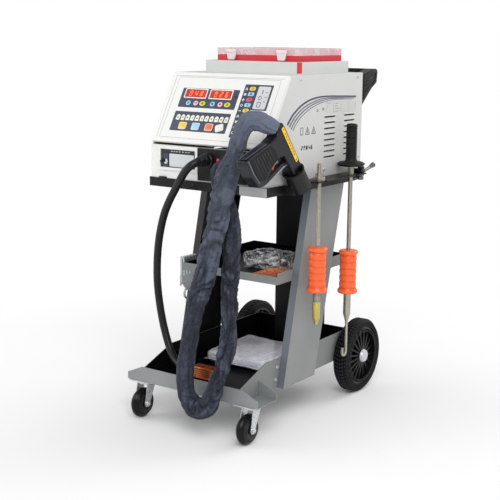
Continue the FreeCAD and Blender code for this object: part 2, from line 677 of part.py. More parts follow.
fascia = cut(
    "fascia",
    panel_box("fascia_slab", "-casing_half", "casing_half", "0", "panel_length",
              "-panel_wall", "0"),
    panel_box("fascia_recess", "-casing_half + membrane_inset_x",
              "casing_half - membrane_inset_x", "membrane_inset",
              "panel_length - membrane_inset", "-membrane_depth", "overrun"))
node(fascia, "control_fascia")
membrane = panel_box("membrane", "-casing_half + membrane_inset_x + rest_gap",
                     "casing_half - membrane_inset_x - rest_gap", "membrane_inset + rest_gap",
                     "panel_length - membrane_inset - rest_gap", "-membrane_depth",
                     "membrane_wall - membrane_depth")
windows = [
    panel_box("window_%d" % i, "window_x - window_width / 2 + window_pitch * %d" % i,
              "window_x + window_width / 2 + window_pitch * %d" % i, "window_rise",
              "window_rise + window_height", "membrane_wall - membrane_depth",
              "membrane_wall - membrane_depth + window_wall")
    for i in range(2)]
node(group("membrane_group", membrane, *windows), "control_membrane")

rear = box("rear_sheet", "-casing_half", "casing_half", "casing_rear_y - rear_wall",
           "casing_rear_y", base_z, cover_top)
rear_slots = [
    box("rear_slot_%d" % i, "-louvre_length", "louvre_length",
        "casing_rear_y - rear_wall - overrun", "casing_rear_y + overrun",
        "louvre_low_z + louvre_pitch * %d" % i,
        "louvre_low_z + louvre_pitch * %d + louvre_height" % i)
    for i in range(int(sheet.rear_louvre_count))]
inlet = turned("inlet_body", [
    ("0", "0"), ("inlet_radius", "0"), ("inlet_radius", "inlet_reach / 2"),
    ("inlet_radius * 0.7", "inlet_reach"), ("0", "inlet_reach")],
    "inlet_x", "casing_rear_y", "inlet_z", TURNS["+Y"])
node(group("rear_group", cut("rear_panel_cut", rear, *rear_slots), inlet), "rear_panel")

for side, way in (("left", -1), ("right", 1)):
    for i, (y, z) in enumerate((("screw_front_y", "screw_high_z"),
                                ("screw_rear_y", "screw_high_z"),
                                ("screw_mid_y", "screw_low_z"),
                                ("casing_rear_y - ear_foot / 2", "inlet_z"))):
        heads.append(cylinder("%s_screw_%d" % (side, i), "screw_radius", "screw_head",
                              "casing_half * %d" % way, y, z, "+X" if way > 0 else "-X"))
node(group("head_group", *heads), "fasteners")

# Push handle across the top of the rear panel

handle_body = body_at("handle_body", "0", "casing_rear_y")
pad(handle_body, outline_sketch(handle_body, "handle_side", "YZ_Plane", [
    ("0", "handle_top_z - handle_bar_radius"),
    ("handle_reach * 0.62", "handle_top_z"), ("handle_reach * 0.9", "handle_top_z"),
    ("handle_reach", "handle_top_z - handle_bar_radius / 2"),
    ("handle_reach * 0.95", "handle_top_z - handle_bar_radius * 2.7"),
    ("handle_reach * 0.6", "handle_top_z - handle_bar_radius * 3.9"),
    ("0", "handle_low_z")]), "casing_half * 2", True)
hollow(handle_body, "handle_gap", "YZ_Plane", [
    ("0", "handle_low_z - handle_bar_radius"), ("0", "handle_top_z + overrun"),
    ("handle_reach * 0.95 - handle_bar_radius * 1.8", "handle_top_z + overrun"),
    ("handle_reach * 0.95 - handle_bar_radius * 1.8",
     "handle_low_z - handle_bar_radius")], "(casing_half - handle_cheek) * 2")
hollow(handle_body, "handle_under", "YZ_Plane", [
    ("0", "handle_low_z - handle_bar_radius"),
    ("0", "handle_top_z - handle_bar_radius * 2.4"),
    ("handle_reach + overrun", "handle_top_z - handle_bar_radius * 2.4"),
    ("handle_reach + overrun", "handle_low_z - handle_bar_radius")],
    "(casing_half - handle_cheek) * 2")
node(handle_body, "push_handle")

# Breaker with its toggle, and the black socket panel

breaker_left = "breaker_x - breaker_width / 2"
breaker_right = "breaker_x + breaker_width / 2"
breaker_low = "breaker_z - breaker_height / 2"
breaker_high = "breaker_z + breaker_height / 2"
frame_front = "casing_front_y - breaker_frame_depth"
band = "breaker_frame_band"
node(cut(
    "breaker_frame_cut",
    box("breaker_frame_block", breaker_left, breaker_right, frame_front, "casing_front_y",
        breaker_low, breaker_high),
    box("breaker_frame_hole", breaker_left + " + " + band, breaker_right + " - " + band,
        frame_front + " - overrun", "casing_front_y + overrun", breaker_low + " + " + band,
        breaker_high + " - " + band)), "breaker_frame")
breaker_solid = fuse(
    "breaker_solid",
    box("breaker_block", breaker_left + " + %s + rest_gap" % band,
        breaker_right + " - %s - rest_gap" % band, "casing_front_y",
        "casing_front_y + breaker_body_depth", breaker_low + " + %s + rest_gap" % band,
        breaker_high + " - %s - rest_gap" % band),
    box("breaker_label", breaker_right + " - %s * 1.5 - label_width" % band,
        breaker_right + " - %s * 1.5" % band, "casing_front_y - label_raise",
        "casing_front_y", breaker_low + " + %s * 1.3" % band,
        breaker_low + " + %s * 1.3 + label_height" % band))
toggle_slot = box("toggle_slot", "toggle_x - toggle_width / 2 - rest_gap",
                  "toggle_x + toggle_width / 2 + rest_gap", "casing_front_y - overrun",
                  "casing_front_y + toggle_root * 2.2",
                  "toggle_z - toggle_slot_height / 2", "toggle_z + toggle_slot_height / 2")
toggle_bore = cylinder("toggle_bore", "toggle_pin_radius + turn_gap",
                       "toggle_width + toggle_root", "toggle_x - (toggle_width + toggle_root) / 2",
                       "casing_front_y + toggle_root", "toggle_z", "+X")
node(cut("breaker_cut", breaker_solid, toggle_slot, toggle_bore), "breaker_body")


def toggle_shape():
    """The breaker's lever, resting low, with its pivot pin."""
    half = sheet.toggle_width / 2
    pin_y = sheet.casing_front_y + sheet.toggle_root
    pivot = Vector(sheet.toggle_x, pin_y, sheet.toggle_z)
    lever = Part.makeBox(sheet.toggle_width, sheet.toggle_root + sheet.toggle_length,
                         sheet.toggle_width,
                         Vector(sheet.toggle_x - half,
                                pin_y - sheet.toggle_root - sheet.toggle_length,
                                sheet.toggle_z - half))
    root = Part.makeCylinder(sheet.toggle_root * 0.7, sheet.toggle_width,
                             pivot - Vector(half, 0, 0), Vector(1, 0, 0))
    pin = Part.makeCylinder(sheet.toggle_pin_radius, sheet.toggle_width + sheet.toggle_root
                            - sheet.rest_gap,
                            pivot - Vector((sheet.toggle_width + sheet.toggle_root
                                            - sheet.rest_gap) / 2, 0, 0), Vector(1, 0, 0))
    for piece in (lever, root, pin):
        piece.rotate(pivot, Vector(1, 0, 0), sheet.toggle_angle)
    return lever.fuse([root, pin]).removeSplitter()


node(real(doc.addObject("Part::Feature", "toggle"), toggle_shape()), "breaker_toggle")

panel_front = "casing_front_y - socket_panel_wall"
node(box("socket_plate", "socket_panel_left_x", "socket_panel_right_x", panel_front,
         "casing_front_y", "socket_panel_low_z", "front_top_z"), "socket_panel")
earth_socket = turned("earth_socket_body", [
    ("0", "0"), ("earth_socket_radius", "0"),
    ("earth_socket_radius", "earth_socket_reach * 0.4"),
    ("earth_socket_radius * 0.82", "earth_socket_reach * 0.55"),
    ("earth_socket_radius * 0.82", "earth_socket_reach"), ("0", "earth_socket_reach")],
    "earth_socket_x", panel_front, "earth_socket_z", TURNS["-Y"])
gun_socket = turned("gun_socket_body", [
    ("0", "0"), ("gun_socket_radius", "0"), ("gun_socket_radius", "gun_socket_reach * 0.5"),
    ("gun_socket_radius * 0.88", "gun_socket_reach"), ("0", "gun_socket_reach")],
    "gun_socket_x", panel_front, "gun_socket_z", TURNS["-Y"])
node(group("socket_group", earth_socket, gun_socket), "output_sockets")

# Inside the casing: transformer, busbars, thyristor stack and control board

inside_z = base_z + " + base_wall"
core_front = "core_y - core_depth / 2"
core_rear = "core_y + core_depth / 2"
core_block = box("core_block", "-core_width / 2", "core_width / 2", core_front, core_rear,
                 inside_z, inside_z + " + core_height")
core_windows = [
    box("core_window_%d" % i, x1, x2, core_front + " - overrun", core_rear + " + overrun",
        inside_z + " + core_limb / 2 + coil_wall / 2",
        inside_z + " + core_height - core_limb / 2 - coil_wall / 2")
    for i, (x1, x2) in enumerate((
        ("-core_width / 2 + core_limb / 2", "-core_limb / 2"),
        ("core_limb / 2", "core_width / 2 - core_limb / 2")))]
node(cut("core", core_block, *core_windows), "transformer_core")
coil_low = inside_z + " + core_limb / 2 + coil_wall / 2 + coil_gap"
coil_high = inside_z + " + core_height - core_limb / 2 - coil_wall / 2 - coil_gap"
coil = cut(
    "coil",
    box("coil_block", "-core_limb / 2 - coil_gap - coil_wall",
        "core_limb / 2 + coil_gap + coil_wall", core_front + " - coil_gap - coil_wall",
        core_rear + " + coil_gap + coil_wall", coil_low, coil_high),
    box("coil_hole", "-core_limb / 2 - coil_gap", "core_limb / 2 + coil_gap",
        core_front + " - coil_gap", core_rear + " + coil_gap", coil_low + " - overrun",
        coil_high + " + overrun"))
bar_front = "casing_front_y + sheet_wall"
bar_rear = core_front + " - coil_gap - coil_wall - stand_off"
bars = [
    box("busbar_%d" % i, "%s - busbar_width / 2" % x, "%s + busbar_width / 2" % x, bar_front,
        bar_rear, "%s - busbar_wall / 2" % z, "%s + busbar_wall / 2" % z)
    for i, (x, z) in enumerate((("earth_socket_x", "earth_socket_z"),
                                ("gun_socket_x", "gun_socket_z")))]
node(group("winding", coil, *bars), "transformer_coil")
sink_x = "core_width / 2 + coil_wall / 2"
sink_top = inside_z + " + sink_height"
fin_pitch = "(sink_width - fin_wall) / (fin_count - 1)"
fins = [
    box("fin_%d" % i, "%s + %s * %d" % (sink_x, fin_pitch, i),
        "%s + %s * %d + fin_wall" % (sink_x, fin_pitch, i), core_front,
        core_front + " + sink_depth", inside_z, sink_top)
    for i in range(int(sheet.fin_count))]
plate = box("sink_plate", sink_x, sink_x + " + sink_width", core_front,
            core_front + " + sink_depth", sink_top, sink_top + " + busbar_wall")
module = box("thyristor", sink_x + " + busbar_wall", sink_x + " + sink_width - busbar_wall",
             core_front + " + busbar_wall", core_front + " + sink_depth - busbar_wall",
             sink_top + " + busbar_wall", sink_top + " + busbar_wall * 4")
node(fuse("stack", plate, module, *fins), "thyristor_stack")
board_s = "panel_length / 2 - board_height / 2"
board_n = "-panel_wall - board_gap - board_wall"
board = panel_box("board", "-board_width / 2", "board_width / 2", board_s,
                  board_s + " + board_height", board_n, board_n + " + board_wall")
posts = [
    panel_box("board_post_%d" % i, x, x + " + busbar_wall", s, s + " + busbar_wall",
              board_n + " + board_wall", "-panel_wall")
    for i, (x, s) in enumerate((
        ("-board_width / 2", board_s), ("board_width / 2 - busbar_wall", board_s),
        ("-board_width / 2", board_s + " + board_height - busbar_wall"),
        ("board_width / 2 - busbar_wall", board_s + " + board_height - busbar_wall")))]
node(fuse("board_assembly", board, *posts), "control_board")

# Tray on top of the casing, and the small case that stands in it

tray_floor = cover_top + " + sheet_wall"
top_tray_block = box("top_tray_block", "-top_tray_half", "top_tray_half", "top_tray_front_y",
                     "top_tray_rear_y", cover_top, cover_top + " + top_tray_height")
top_tray_flange = box("top_tray_apron", "-top_tray_half", "top_tray_half",
                      "top_tray_front_y - top_tray_flange", "top_tray_front_y", cover_top,
                      tray_floor)
top_tray_inside = box("top_tray_inside", "-top_tray_half + sheet_wall",
                      "top_tray_half - sheet_wall", "top_tray_front_y + sheet_wall",
                      "top_tray_rear_y - sheet_wall", tray_floor,
                      cover_top + " + top_tray_height + overrun")
node(cut("top_tray_cut", fuse("top_tray_solid", top_tray_block, top_tray_flange),
         top_tray_inside), "top_tray")

case_low = tray_floor
case_split = case_low + " + case_base_height"
case_top = case_split + " + case_lid_height"
case_cup = cut(
    "case_cup",
    box("case_block", "-case_half", "case_half", "case_front_y", "case_rear_y", case_low,
        case_split),
    box("case_inside", "-case_half + case_wall", "case_half - case_wall",
        "case_front_y + case_wall", "case_rear_y - case_wall", case_low + " + case_wall",
        case_split + " + overrun"))
hinge_y = "case_rear_y + case_hinge_radius - case_wall"
hinge_z = case_split
knuckle = "case_half / 6"


def hinge_barrels(name, places, radius):
    return [cylinder("%s_%d" % (name, i), radius, knuckle, x, hinge_y, hinge_z, "+X")
            for i, x in enumerate(places)]


lid_places = ["-case_half * 0.5", "case_half * 0.5 - " + knuckle]
base_places = ["-case_half * 0.5 - %s - rest_gap" % knuckle,
               "-case_half * 0.5 + %s + rest_gap" % knuckle,
               "case_half * 0.5 - %s * 2 - rest_gap" % knuckle,
               "case_half * 0.5 + rest_gap"]
clear = "case_hinge_radius + rest_gap"


def clearing(name, places):
    """Room in one half of the case for the barrels of the other."""
    return [cylinder("%s_%d" % (name, i), clear, knuckle + " + rest_gap * 2",
                     x + " - rest_gap", hinge_y, hinge_z, "+X")
            for i, x in enumerate(places)]


case_base_solid = fuse("case_base_solid", case_cup,
                       *hinge_barrels("base_barrel", base_places, "case_hinge_radius"))
node(cut("case_base_cut", case_base_solid, *clearing("base_room", lid_places)), "case_base")
lid_shell = cut(
    "lid_shell",
    box("lid_block", "-case_half", "case_half", "case_front_y", "case_rear_y",
        case_split + " + rest_gap", case_top),
    box("lid_inside", "-case_half + case_wall", "case_half - case_wall",
        "case_front_y + case_wall", "case_rear_y - case_wall", case_split,
        case_top + " - case_wall"))
lid_solid = fuse("lid_solid", lid_shell,
                 *hinge_barrels("lid_barrel", lid_places, "case_hinge_radius"))
node(cut("lid_cut", lid_solid, *clearing("lid_room", base_places)), "case_lid")
latch_rear = "case_front_y - rest_gap"
latch_low = case_split + " - latch_height / 2"
for side, way in (("left", -1), ("right", 1)):
    x = "latch_x * %d" % way
    plate = box(side + "_latch_plate", x + " - latch_width / 2", x + " + latch_width / 2",
                latch_rear + " - latch_wall", latch_rear, latch_low,
                latch_low + " + latch_height")
    roll = cylinder(side + "_latch_roll", "latch_wall", "latch_width",
                    x + " - latch_width / 2", latch_rear + " - latch_wall",
                    latch_low + " + latch_height - latch_wall", "+X")
    node(fuse(side + "_latch", plate, roll), "case_latch_" + side)

# Tool bracket on the shelf's right side, with slots open to the outside

bracket_inner = "shelf_half"
bracket_outer = "shelf_half + bracket_reach"
bracket_low = "bracket_top_z - bracket_wall"
slot_half = "(rod_radius + rest_gap)"
lever_x = bracket_inner + " + bracket_wall"
bracket = cut(
    "bracket",
    fuse("bracket_angle",
         cylinder("lever_hub", "lever_hub_radius", "lever_hub_height", lever_x, "lever_y",
                  "lever_z", "+X"),
         box("bracket_flange", bracket_inner, bracket_outer, "bracket_front_y",
             "bracket_rear_y", bracket_low, "bracket_top_z"),
         box("bracket_leg", bracket_inner, bracket_inner + " + bracket_wall",
             "bracket_front_y", "lever_y + lever_hub_radius * 1.2", "shelf_low_z",
             "bracket_top_z")),
    box("left_slot", "tool_x - " + slot_half, bracket_outer + " + overrun",
        "left_tool_y - %s" % slot_half, "left_tool_y + %s" % slot_half,
        bracket_low + " - overrun", "bracket_top_z + overrun"),
    box("right_slot", "tool_x - " + slot_half, bracket_outer + " + overrun",
        "right_tool_y - %s" % slot_half, "right_tool_y + %s" % slot_half,
        bracket_low + " - overrun", "bracket_top_z + overrun"))
node(bracket, "tool_bracket")


def lever_arm_shape():
    """The clamp's arm and knob, rising a little to the rear."""
    x = sheet.shelf_half + sheet.bracket_wall + sheet.lever_hub_height \
        + sheet.stand_off + sheet.lever_arm_radius
    start = Vector(x, sheet.lever_y, sheet.lever_z)
    angle = math.radians(sheet.lever_angle)
    along = Vector(0, math.cos(angle), math.sin(angle))
    boss = Part.makeCylinder(sheet.lever_hub_radius * 0.8, sheet.lever_arm_radius * 2,
                             start - Vector(sheet.lever_arm_radius, 0, 0), Vector(1, 0, 0))
    arm = Part.makeCylinder(sheet.lever_arm_radius, sheet.lever_arm_length, start, along)
    knob = Part.makeCone(sheet.lever_arm_radius, sheet.lever_knob_radius,
                         sheet.lever_knob_length,
                         start + along * (sheet.lever_arm_length - sheet.lever_knob_radius),
                         along)
    return boss.fuse([arm, knob]).removeSplitter()


node(real(doc.addObject("Part::Feature", "lever_arm"), lever_arm_shape()), "clamp_lever")

# Slide hammers: rods that hang in the bracket, with the weights that slide on them

def weight(name, y, low):
    """A moulded weight with flanged ends and ribs round its body."""
    body = body_at(name, "tool_x", y, low)
    bore = "rod_radius + weight_bore_gap"
    turn_sketch(body, outline_sketch(body, name + "_section", "XZ_Plane", [
        (bore, "0"), ("weight_flange_radius - weight_rib", "0"),
        ("weight_flange_radius", "weight_rib"),
        ("weight_flange_radius", "weight_flange - weight_rib"),
        ("weight_body_radius", "weight_flange"),
        ("weight_body_radius", "weight_length - weight_flange"),
        ("weight_flange_radius", "weight_length - weight_flange + weight_rib"),
        ("weight_flange_radius", "weight_length - weight_rib"),
        ("weight_flange_radius - weight_rib", "weight_length"), (bore, "weight_length")]))
    groove = outline_sketch(body, name + "_groove", "XZ_Plane", [
        ("weight_body_radius - weight_rib * 0.7", "weight_flange + weight_rib"),
        ("weight_body_radius + overrun", "weight_flange + weight_rib"),
        ("weight_body_radius + overrun", "weight_length - weight_flange - weight_rib"),
        ("weight_body_radius - weight_rib * 0.7",
         "weight_length - weight_flange - weight_rib")])
    around(body, pocket(body, groove, "weight_rib * 2", True), "weight_rib_count")
    return body


node(weight("left_weight_body", "left_tool_y", "left_weight_low_z"), "left_hammer_weight")
node(weight("right_weight_body", "right_tool_y", "right_weight_low_z"),
     "right_hammer_weight")

left_stop_z = "left_weight_low_z - stand_off"
left_rod = turned("left_rod_body", [
    ("0", "-chuck_length"), ("chuck_radius", "-chuck_length"), ("chuck_radius", "0"),
    ("rod_radius", "0"), ("rod_radius", "stub_top_z - (%s)" % left_stop_z),
    ("0", "stub_top_z - (%s)" % left_stop_z)], "tool_x", "left_tool_y", left_stop_z)
left_tip = turned("left_tip_body", [
    ("0", "0"), ("tip_end_radius", "0"), ("tip_radius", "tip_cone"),
    ("tip_radius", "tip_cone + tip_length"), ("0", "tip_cone + tip_length")],
    "tool_x", "left_tool_y", left_stop_z + " - chuck_length - tip_cone - tip_length")
left_nut = cut(
    "left_nut_cut",
    fuse("left_nut_solid",
         cylinder("left_collar", "collar_radius", "collar_height", "tool_x", "left_tool_y",
                  "bracket_top_z"),
         cylinder("left_nut", "nut_radius", "nut_height", "tool_x", "left_tool_y",
                  "bracket_top_z + collar_height")),
    cylinder("left_nut_bore", "rod_radius", "collar_height * 3 + nut_height", "tool_x",
             "left_tool_y", "bracket_top_z - collar_height"))
node(group("left_hammer", left_rod, left_tip, left_nut), "left_hammer_rod")

right_stop_z = "right_weight_low_z - stand_off"


def right_rod_shape():
    """Rod, spindle, thin shank and the hook at its foot."""
    x = sheet.tool_x
    y = sheet.right_tool_y
    stop = sheet.right_weight_low_z - sheet.stand_off
    low = stop - sheet.spindle_length
    foot = low - sheet.spindle_cone
    up = Vector(0, 0, 1)
    rod = Part.makeCylinder(sheet.rod_radius, sheet.guard_low_z - stop, Vector(x, y, stop), up)
    spindle = Part.makeCylinder(sheet.spindle_radius, sheet.spindle_length,
                                Vector(x, y, low), up)
    taper = Part.makeCone(sheet.shank_radius, sheet.spindle_radius, sheet.spindle_cone,
                          Vector(x, y, foot), up)
    shank = Part.makeCylinder(sheet.shank_radius, foot - sheet.shank_low_z,
                              Vector(x, y, sheet.shank_low_z), up)
    bend = sheet.hook_bend_radius
    half_turn = Part.Arc(Vector(x, y, sheet.shank_low_z),
                         Vector(x, y - bend, sheet.shank_low_z - bend),
                         Vector(x, y - bend * 2, sheet.shank_low_z)).toShape()
    rise = Part.LineSegment(Vector(x, y - bend * 2, sheet.shank_low_z),
                            Vector(x, y - bend * 2, sheet.shank_low_z + sheet.hook_rise))
    section = Part.Wire([Part.Circle(Vector(x, y, sheet.shank_low_z), up,
                                     sheet.shank_radius).toShape()])
    hook = Part.Wire([half_turn, rise.toShape()]).makePipeShell([section], True, True)
    return rod.fuse([spindle, taper, shank, hook]).removeSplitter()


right_rod = real(doc.addObject("Part::Feature", "right_rod"), right_rod_shape())
neck = cut("neck_cut",
           cylinder("neck", "neck_radius", "guard_low_z - bracket_top_z", "tool_x",
                    "right_tool_y", "bracket_top_z"),
           cylinder("neck_bore", "rod_radius", "(guard_low_z - bracket_top_z) * 3", "tool_x",
                    "right_tool_y", "shelf_low_z"))
node(group("right_hammer", right_rod, neck), "right_hammer_rod")


def grip_outline():
    """The rubber grip: guard, ribbed sleeve and domed end, from the guard's underside."""
    height = "grip_top_z - guard_low_z"
    points = [
        ("0", "0"), ("guard_radius - guard_thick * 0.3", "0"),
        ("guard_radius", "guard_thick * 0.35"), ("guard_radius", "guard_thick * 0.6"),
        ("guard_radius - guard_thick * 0.5", "guard_thick * 0.9"),
        ("grip_radius + guard_thick * 0.3", "guard_thick")]
    start = "guard_thick * 1.6"
    pitch = "(%s - grip_radius - %s) / grip_rib_count" % (height, start)
    for i in range(int(sheet.grip_rib_count)):
        low = "%s + %s * %d" % (start, pitch, i)
        points += [("grip_radius", low), ("grip_radius", "%s + %s * 0.7" % (low, pitch)),
                   ("grip_radius - grip_rib", "%s + %s * 0.8" % (low, pitch))]
    points += [("grip_radius", height + " - grip_radius"),
               ("grip_radius * 0.92", height + " - grip_radius * 0.6"),
               ("grip_radius * 0.7", height + " - grip_radius * 0.28"),
               ("grip_radius * 0.35", height + " - grip_radius * 0.06"), ("0", height)]
    return points


node(turned("grip_body", grip_outline(), "tool_x", "right_tool_y", "guard_low_z"),
     "right_hammer_grip")


# Gun in the side plane: u runs down the barrel, v runs from its back towards the grip

def gun_point(u, v, x=None):
    angle = math.radians(sheet.gun_angle)
    y = sheet.gun_y + u * math.cos(angle) - v * math.sin(angle)
    z = sheet.gun_z - u * math.sin(angle) - v * math.cos(angle)
    return Vector(sheet.gun_x if x is None else x, y, z)


def rounded(points, radii):
    """A closed wire through the points whose corners are arcs of the given radii."""
    edges = []
    count = len(points)
    ends = []
    for i in range(count):
        here = points[i]
        before = (points[i - 1] - here).normalize()
        after = (points[(i + 1) % count] - here).normalize()
        half = before.getAngle(after) / 2
        reach = radii[i] / math.tan(half)
        middle = here + (before + after).normalize() * (radii[i] / math.sin(half) - radii[i])
        ends.append((here + before * reach, middle, here + after * reach))
    for i in range(count):
        start, middle, finish = ends[i]
        edges.append(Part.Arc(start, middle, finish).toShape())
        following = ends[(i + 1) % count][0]
        edges.append(Part.LineSegment(finish, following).toShape())
    return Part.Wire(edges)


def gun_tail(along):
    """A point of the slanted rear face, by its distance from the top edge."""
    tilt = math.radians(sheet.gun_tail_tilt)
    return (along * math.sin(tilt) - sheet.gun_rear,
            along * math.cos(tilt) + sheet.gun_edge * 0.4)


def gun_outline():
    """The pistol seen from its side, in shares of its own length, depth and grip."""
    length = sheet.gun_body_length
    depth = sheet.gun_body_depth
    grip = sheet.grip_length
    near = sheet.grip_near
    back = sheet.grip_rear
    return [
        gun_tail(0), (length * 0.1, 0), (length, depth * 0.05),
        (length, depth * 0.9), (near * 1.35, depth), (near * 1.05, depth * 1.6),
        (near * 1.12, grip * 0.72), (near * 1.3, grip * 0.86), (near * 1.05, grip * 0.97),
        (near * 0.3, grip), (-back, grip * 0.98), (-back * 0.3, grip * 0.6),
        (back * 0.1, depth * 1.6), gun_tail(sheet.gun_tail_length)]


def gun_half_shape(way):
    """One moulded half of the gun, split on its middle plane."""
    radii = [sheet.gun_edge * share for share in
             (1, 1.6, 1, 1.2, 1, 2, 2, 1, 1.6, 2, 2.4, 3, 2, 1.2)]
    flat = [gun_point(u, v) for u, v in gun_outline()]
    face = Part.Face(rounded(flat, radii))
    solid = face.extrude(Vector(sheet.gun_half * way, 0, 0))
    outer = [edge for edge in solid.Edges
             if abs(edge.BoundBox.XMin - (sheet.gun_x + sheet.gun_half * way))
             < sheet.turn_gap and edge.BoundBox.XLength < sheet.turn_gap]
    return solid.makeFillet(sheet.gun_edge * 0.6, outer)


def gun_hole_tools():
    """Room for the trigger, its pin and the nose."""
    slot = [gun_point(u, v) for u, v in (
        (sheet.trigger_u - sheet.trigger_wide * 1.5, sheet.trigger_v - sheet.trigger_wide),
        (sheet.trigger_u + sheet.trigger_wide * 3.2, sheet.trigger_v - sheet.trigger_wide * 1.2),
        (sheet.trigger_u + sheet.trigger_wide * 3.2, sheet.trigger_v + sheet.trigger_wide * 2),
        (sheet.trigger_u + sheet.trigger_wide, sheet.trigger_v + sheet.trigger_reach * 1.15),
        (sheet.trigger_u - sheet.trigger_wide * 1.5, sheet.trigger_v + sheet.trigger_reach))]
    half = sheet.trigger_wide / 2 + sheet.trigger_gap
    slot_face = Part.Face(Part.makePolygon(slot + slot[:1]))
    room = slot_face.extrude(Vector(half * 2, 0, 0))
    room.translate(Vector(-half, 0, 0))
    pin = Part.makeCylinder(sheet.trigger_pin_radius + sheet.turn_gap, sheet.gun_half,
                            gun_point(sheet.trigger_u, sheet.trigger_v,
                                      sheet.gun_x - sheet.gun_half / 2), Vector(1, 0, 0))
    return [room, pin]


def guard_shape():
    """The bar that closes the finger hole between the body and the butt."""
    length = sheet.gun_body_length
    depth = sheet.gun_body_depth
    grip = sheet.grip_length
    near = sheet.grip_near
    bar = sheet.guard_bar
    points = [gun_point(u, v) for u, v in (
        (length * 0.72 - bar, depth * 0.85), (length * 0.72, depth * 0.85),
        (length * 0.66, depth * 1.4), (near * 1.35 + bar, grip * 0.8),
        (near * 1.15, grip * 0.93), (near * 1.1, grip * 0.84), (near * 1.35, grip * 0.76),
        (length * 0.64 - bar, depth * 1.35))]
    solid = Part.Face(Part.makePolygon(points + points[:1])).extrude(
        Vector(sheet.guard_depth, 0, 0))
    solid.translate(Vector(-sheet.guard_depth / 2, 0, 0))
    return solid


guard = guard_shape()
for side, way in (("left", -1), ("right", 1)):
    half_solid = gun_half_shape(way)
    half_space = Part.makeBox(sheet.gun_half * 2, sheet.grip_length * 3, sheet.grip_length * 3,
                              Vector(sheet.gun_x if way > 0
                                     else sheet.gun_x - sheet.gun_half * 2,
                                     sheet.gun_y - sheet.grip_length * 1.5,
                                     sheet.gun_z - sheet.grip_length * 1.5))
    whole = half_solid.fuse(guard.common(half_space)).cut(gun_hole_tools()).removeSplitter()
    node(real(doc.addObject("Part::Feature", "gun_half_" + side), whole),
         "gun_shell_" + side)

barrel_way = gun_point(1, 0) - gun_point(0, 0)


def trigger_shape():
    """A curved trigger blade with its pin, in the slot between the halves."""
    wide = sheet.trigger_wide
    u = sheet.trigger_u
    v = sheet.trigger_v
    reach = sheet.trigger_reach
    points = [gun_point(a, b) for a, b in (
        (u - wide * 0.5, v - wide * 0.5), (u + wide * 0.6, v - wide * 0.6),
        (u + wide * 1.5, v + reach * 0.25), (u + wide * 1.7, v + reach * 0.6),
        (u + wide * 2.4, v + reach), (u + wide * 1.5, v + reach * 1.05),
        (u + wide * 0.8, v + reach * 0.6), (u + wide * 0.4, v + reach * 0.3))]
    blade = Part.Face(Part.makePolygon(points + points[:1])).extrude(Vector(wide, 0, 0))
    blade.translate(Vector(-wide / 2, 0, 0))
    pin = Part.makeCylinder(sheet.trigger_pin_radius, sheet.gun_half - sheet.rest_gap * 2,
                            gun_point(u, v, sheet.gun_x - sheet.gun_half / 2
                                      + sheet.rest_gap), Vector(1, 0, 0))
    return blade.fuse(pin).removeSplitter()


node(real(doc.addObject("Part::Feature", "trigger"), trigger_shape()), "gun_trigger")


def nose_shape():
    """The gun's copper nose and its electrode, ahead of the shells."""
    start = gun_point(sheet.gun_body_length, sheet.nose_across)
    nose = Part.makeCone(sheet.nose_radius, sheet.nose_radius * 0.8, sheet.nose_length, start,
                         barrel_way)
    electrode = Part.makeCylinder(sheet.electrode_radius,
                                  sheet.electrode_length + sheet.overrun,
                                  start + barrel_way * (sheet.nose_length - sheet.overrun),
                                  barrel_way)
    return nose.fuse(electrode).removeSplitter()


node(real(doc.addObject("Part::Feature", "nose"), nose_shape()), "gun_nose")


def boot_arc():
    """The rubber boot's centre line: it leaves the slanted tail and turns inwards."""
    start = gun_point(*gun_tail(sheet.gun_tail_length / 2))
    tilt = math.radians(sheet.gun_tail_tilt)
    out = gun_point(-math.cos(tilt), math.sin(tilt)) - gun_point(0, 0)
    inwards = Vector(-1, 0, 0)
    bend = sheet.boot_bend_radius

    def place_at(degrees):
        angle = math.radians(degrees)
        return start + out * (bend * math.sin(angle)) \
            + inwards * (bend * (1 - math.cos(angle)))

    turn = math.radians(sheet.boot_turn)
    way = out * math.cos(turn) + inwards * math.sin(turn)
    return start, out, place_at(sheet.boot_turn / 2), place_at(sheet.boot_turn), way


boot_start, boot_out, boot_middle, boot_end, boot_way = boot_arc()


def boot_shape():
    line = Part.Wire([Part.Arc(boot_start, boot_middle, boot_end).toShape()])
    section = Part.Wire([Part.Circle(boot_start, boot_out, sheet.boot_radius).toShape()])
    return line.makePipeShell([section], True, False)


node(real(doc.addObject("Part::Feature", "boot"), boot_shape()), "gun_boot")


def cup_shape():
    """A slanted cup for the gun's nose, with the lug that bolts it to the shelf."""
    centre = gun_point(sheet.gun_body_length - sheet.cup_floor, sheet.nose_across)
    outer = Part.makeCylinder(sheet.cup_radius, sheet.cup_length, centre, barrel_way)
    inner = Part.makeCylinder(sheet.cup_radius - sheet.cup_wall,
                              sheet.cup_length - sheet.cup_floor + sheet.overrun,
                              centre - barrel_way * sheet.overrun, barrel_way)
    middle = centre + barrel_way * (sheet.cup_length / 2)
    lug = Part.makeBox(sheet.gun_x - sheet.shelf_half, sheet.cup_lug_width, sheet.shelf_lip,
                       Vector(sheet.shelf_half, middle.y - sheet.cup_lug_width / 2,
                              sheet.shelf_low_z))
    return outer.fuse(lug).cut(inner).removeSplitter()


node(real(doc.addObject("Part::Feature", "cup"), cup_shape()), "gun_cup")


# Cords: straight runs joined by arcs as large as the runs allow

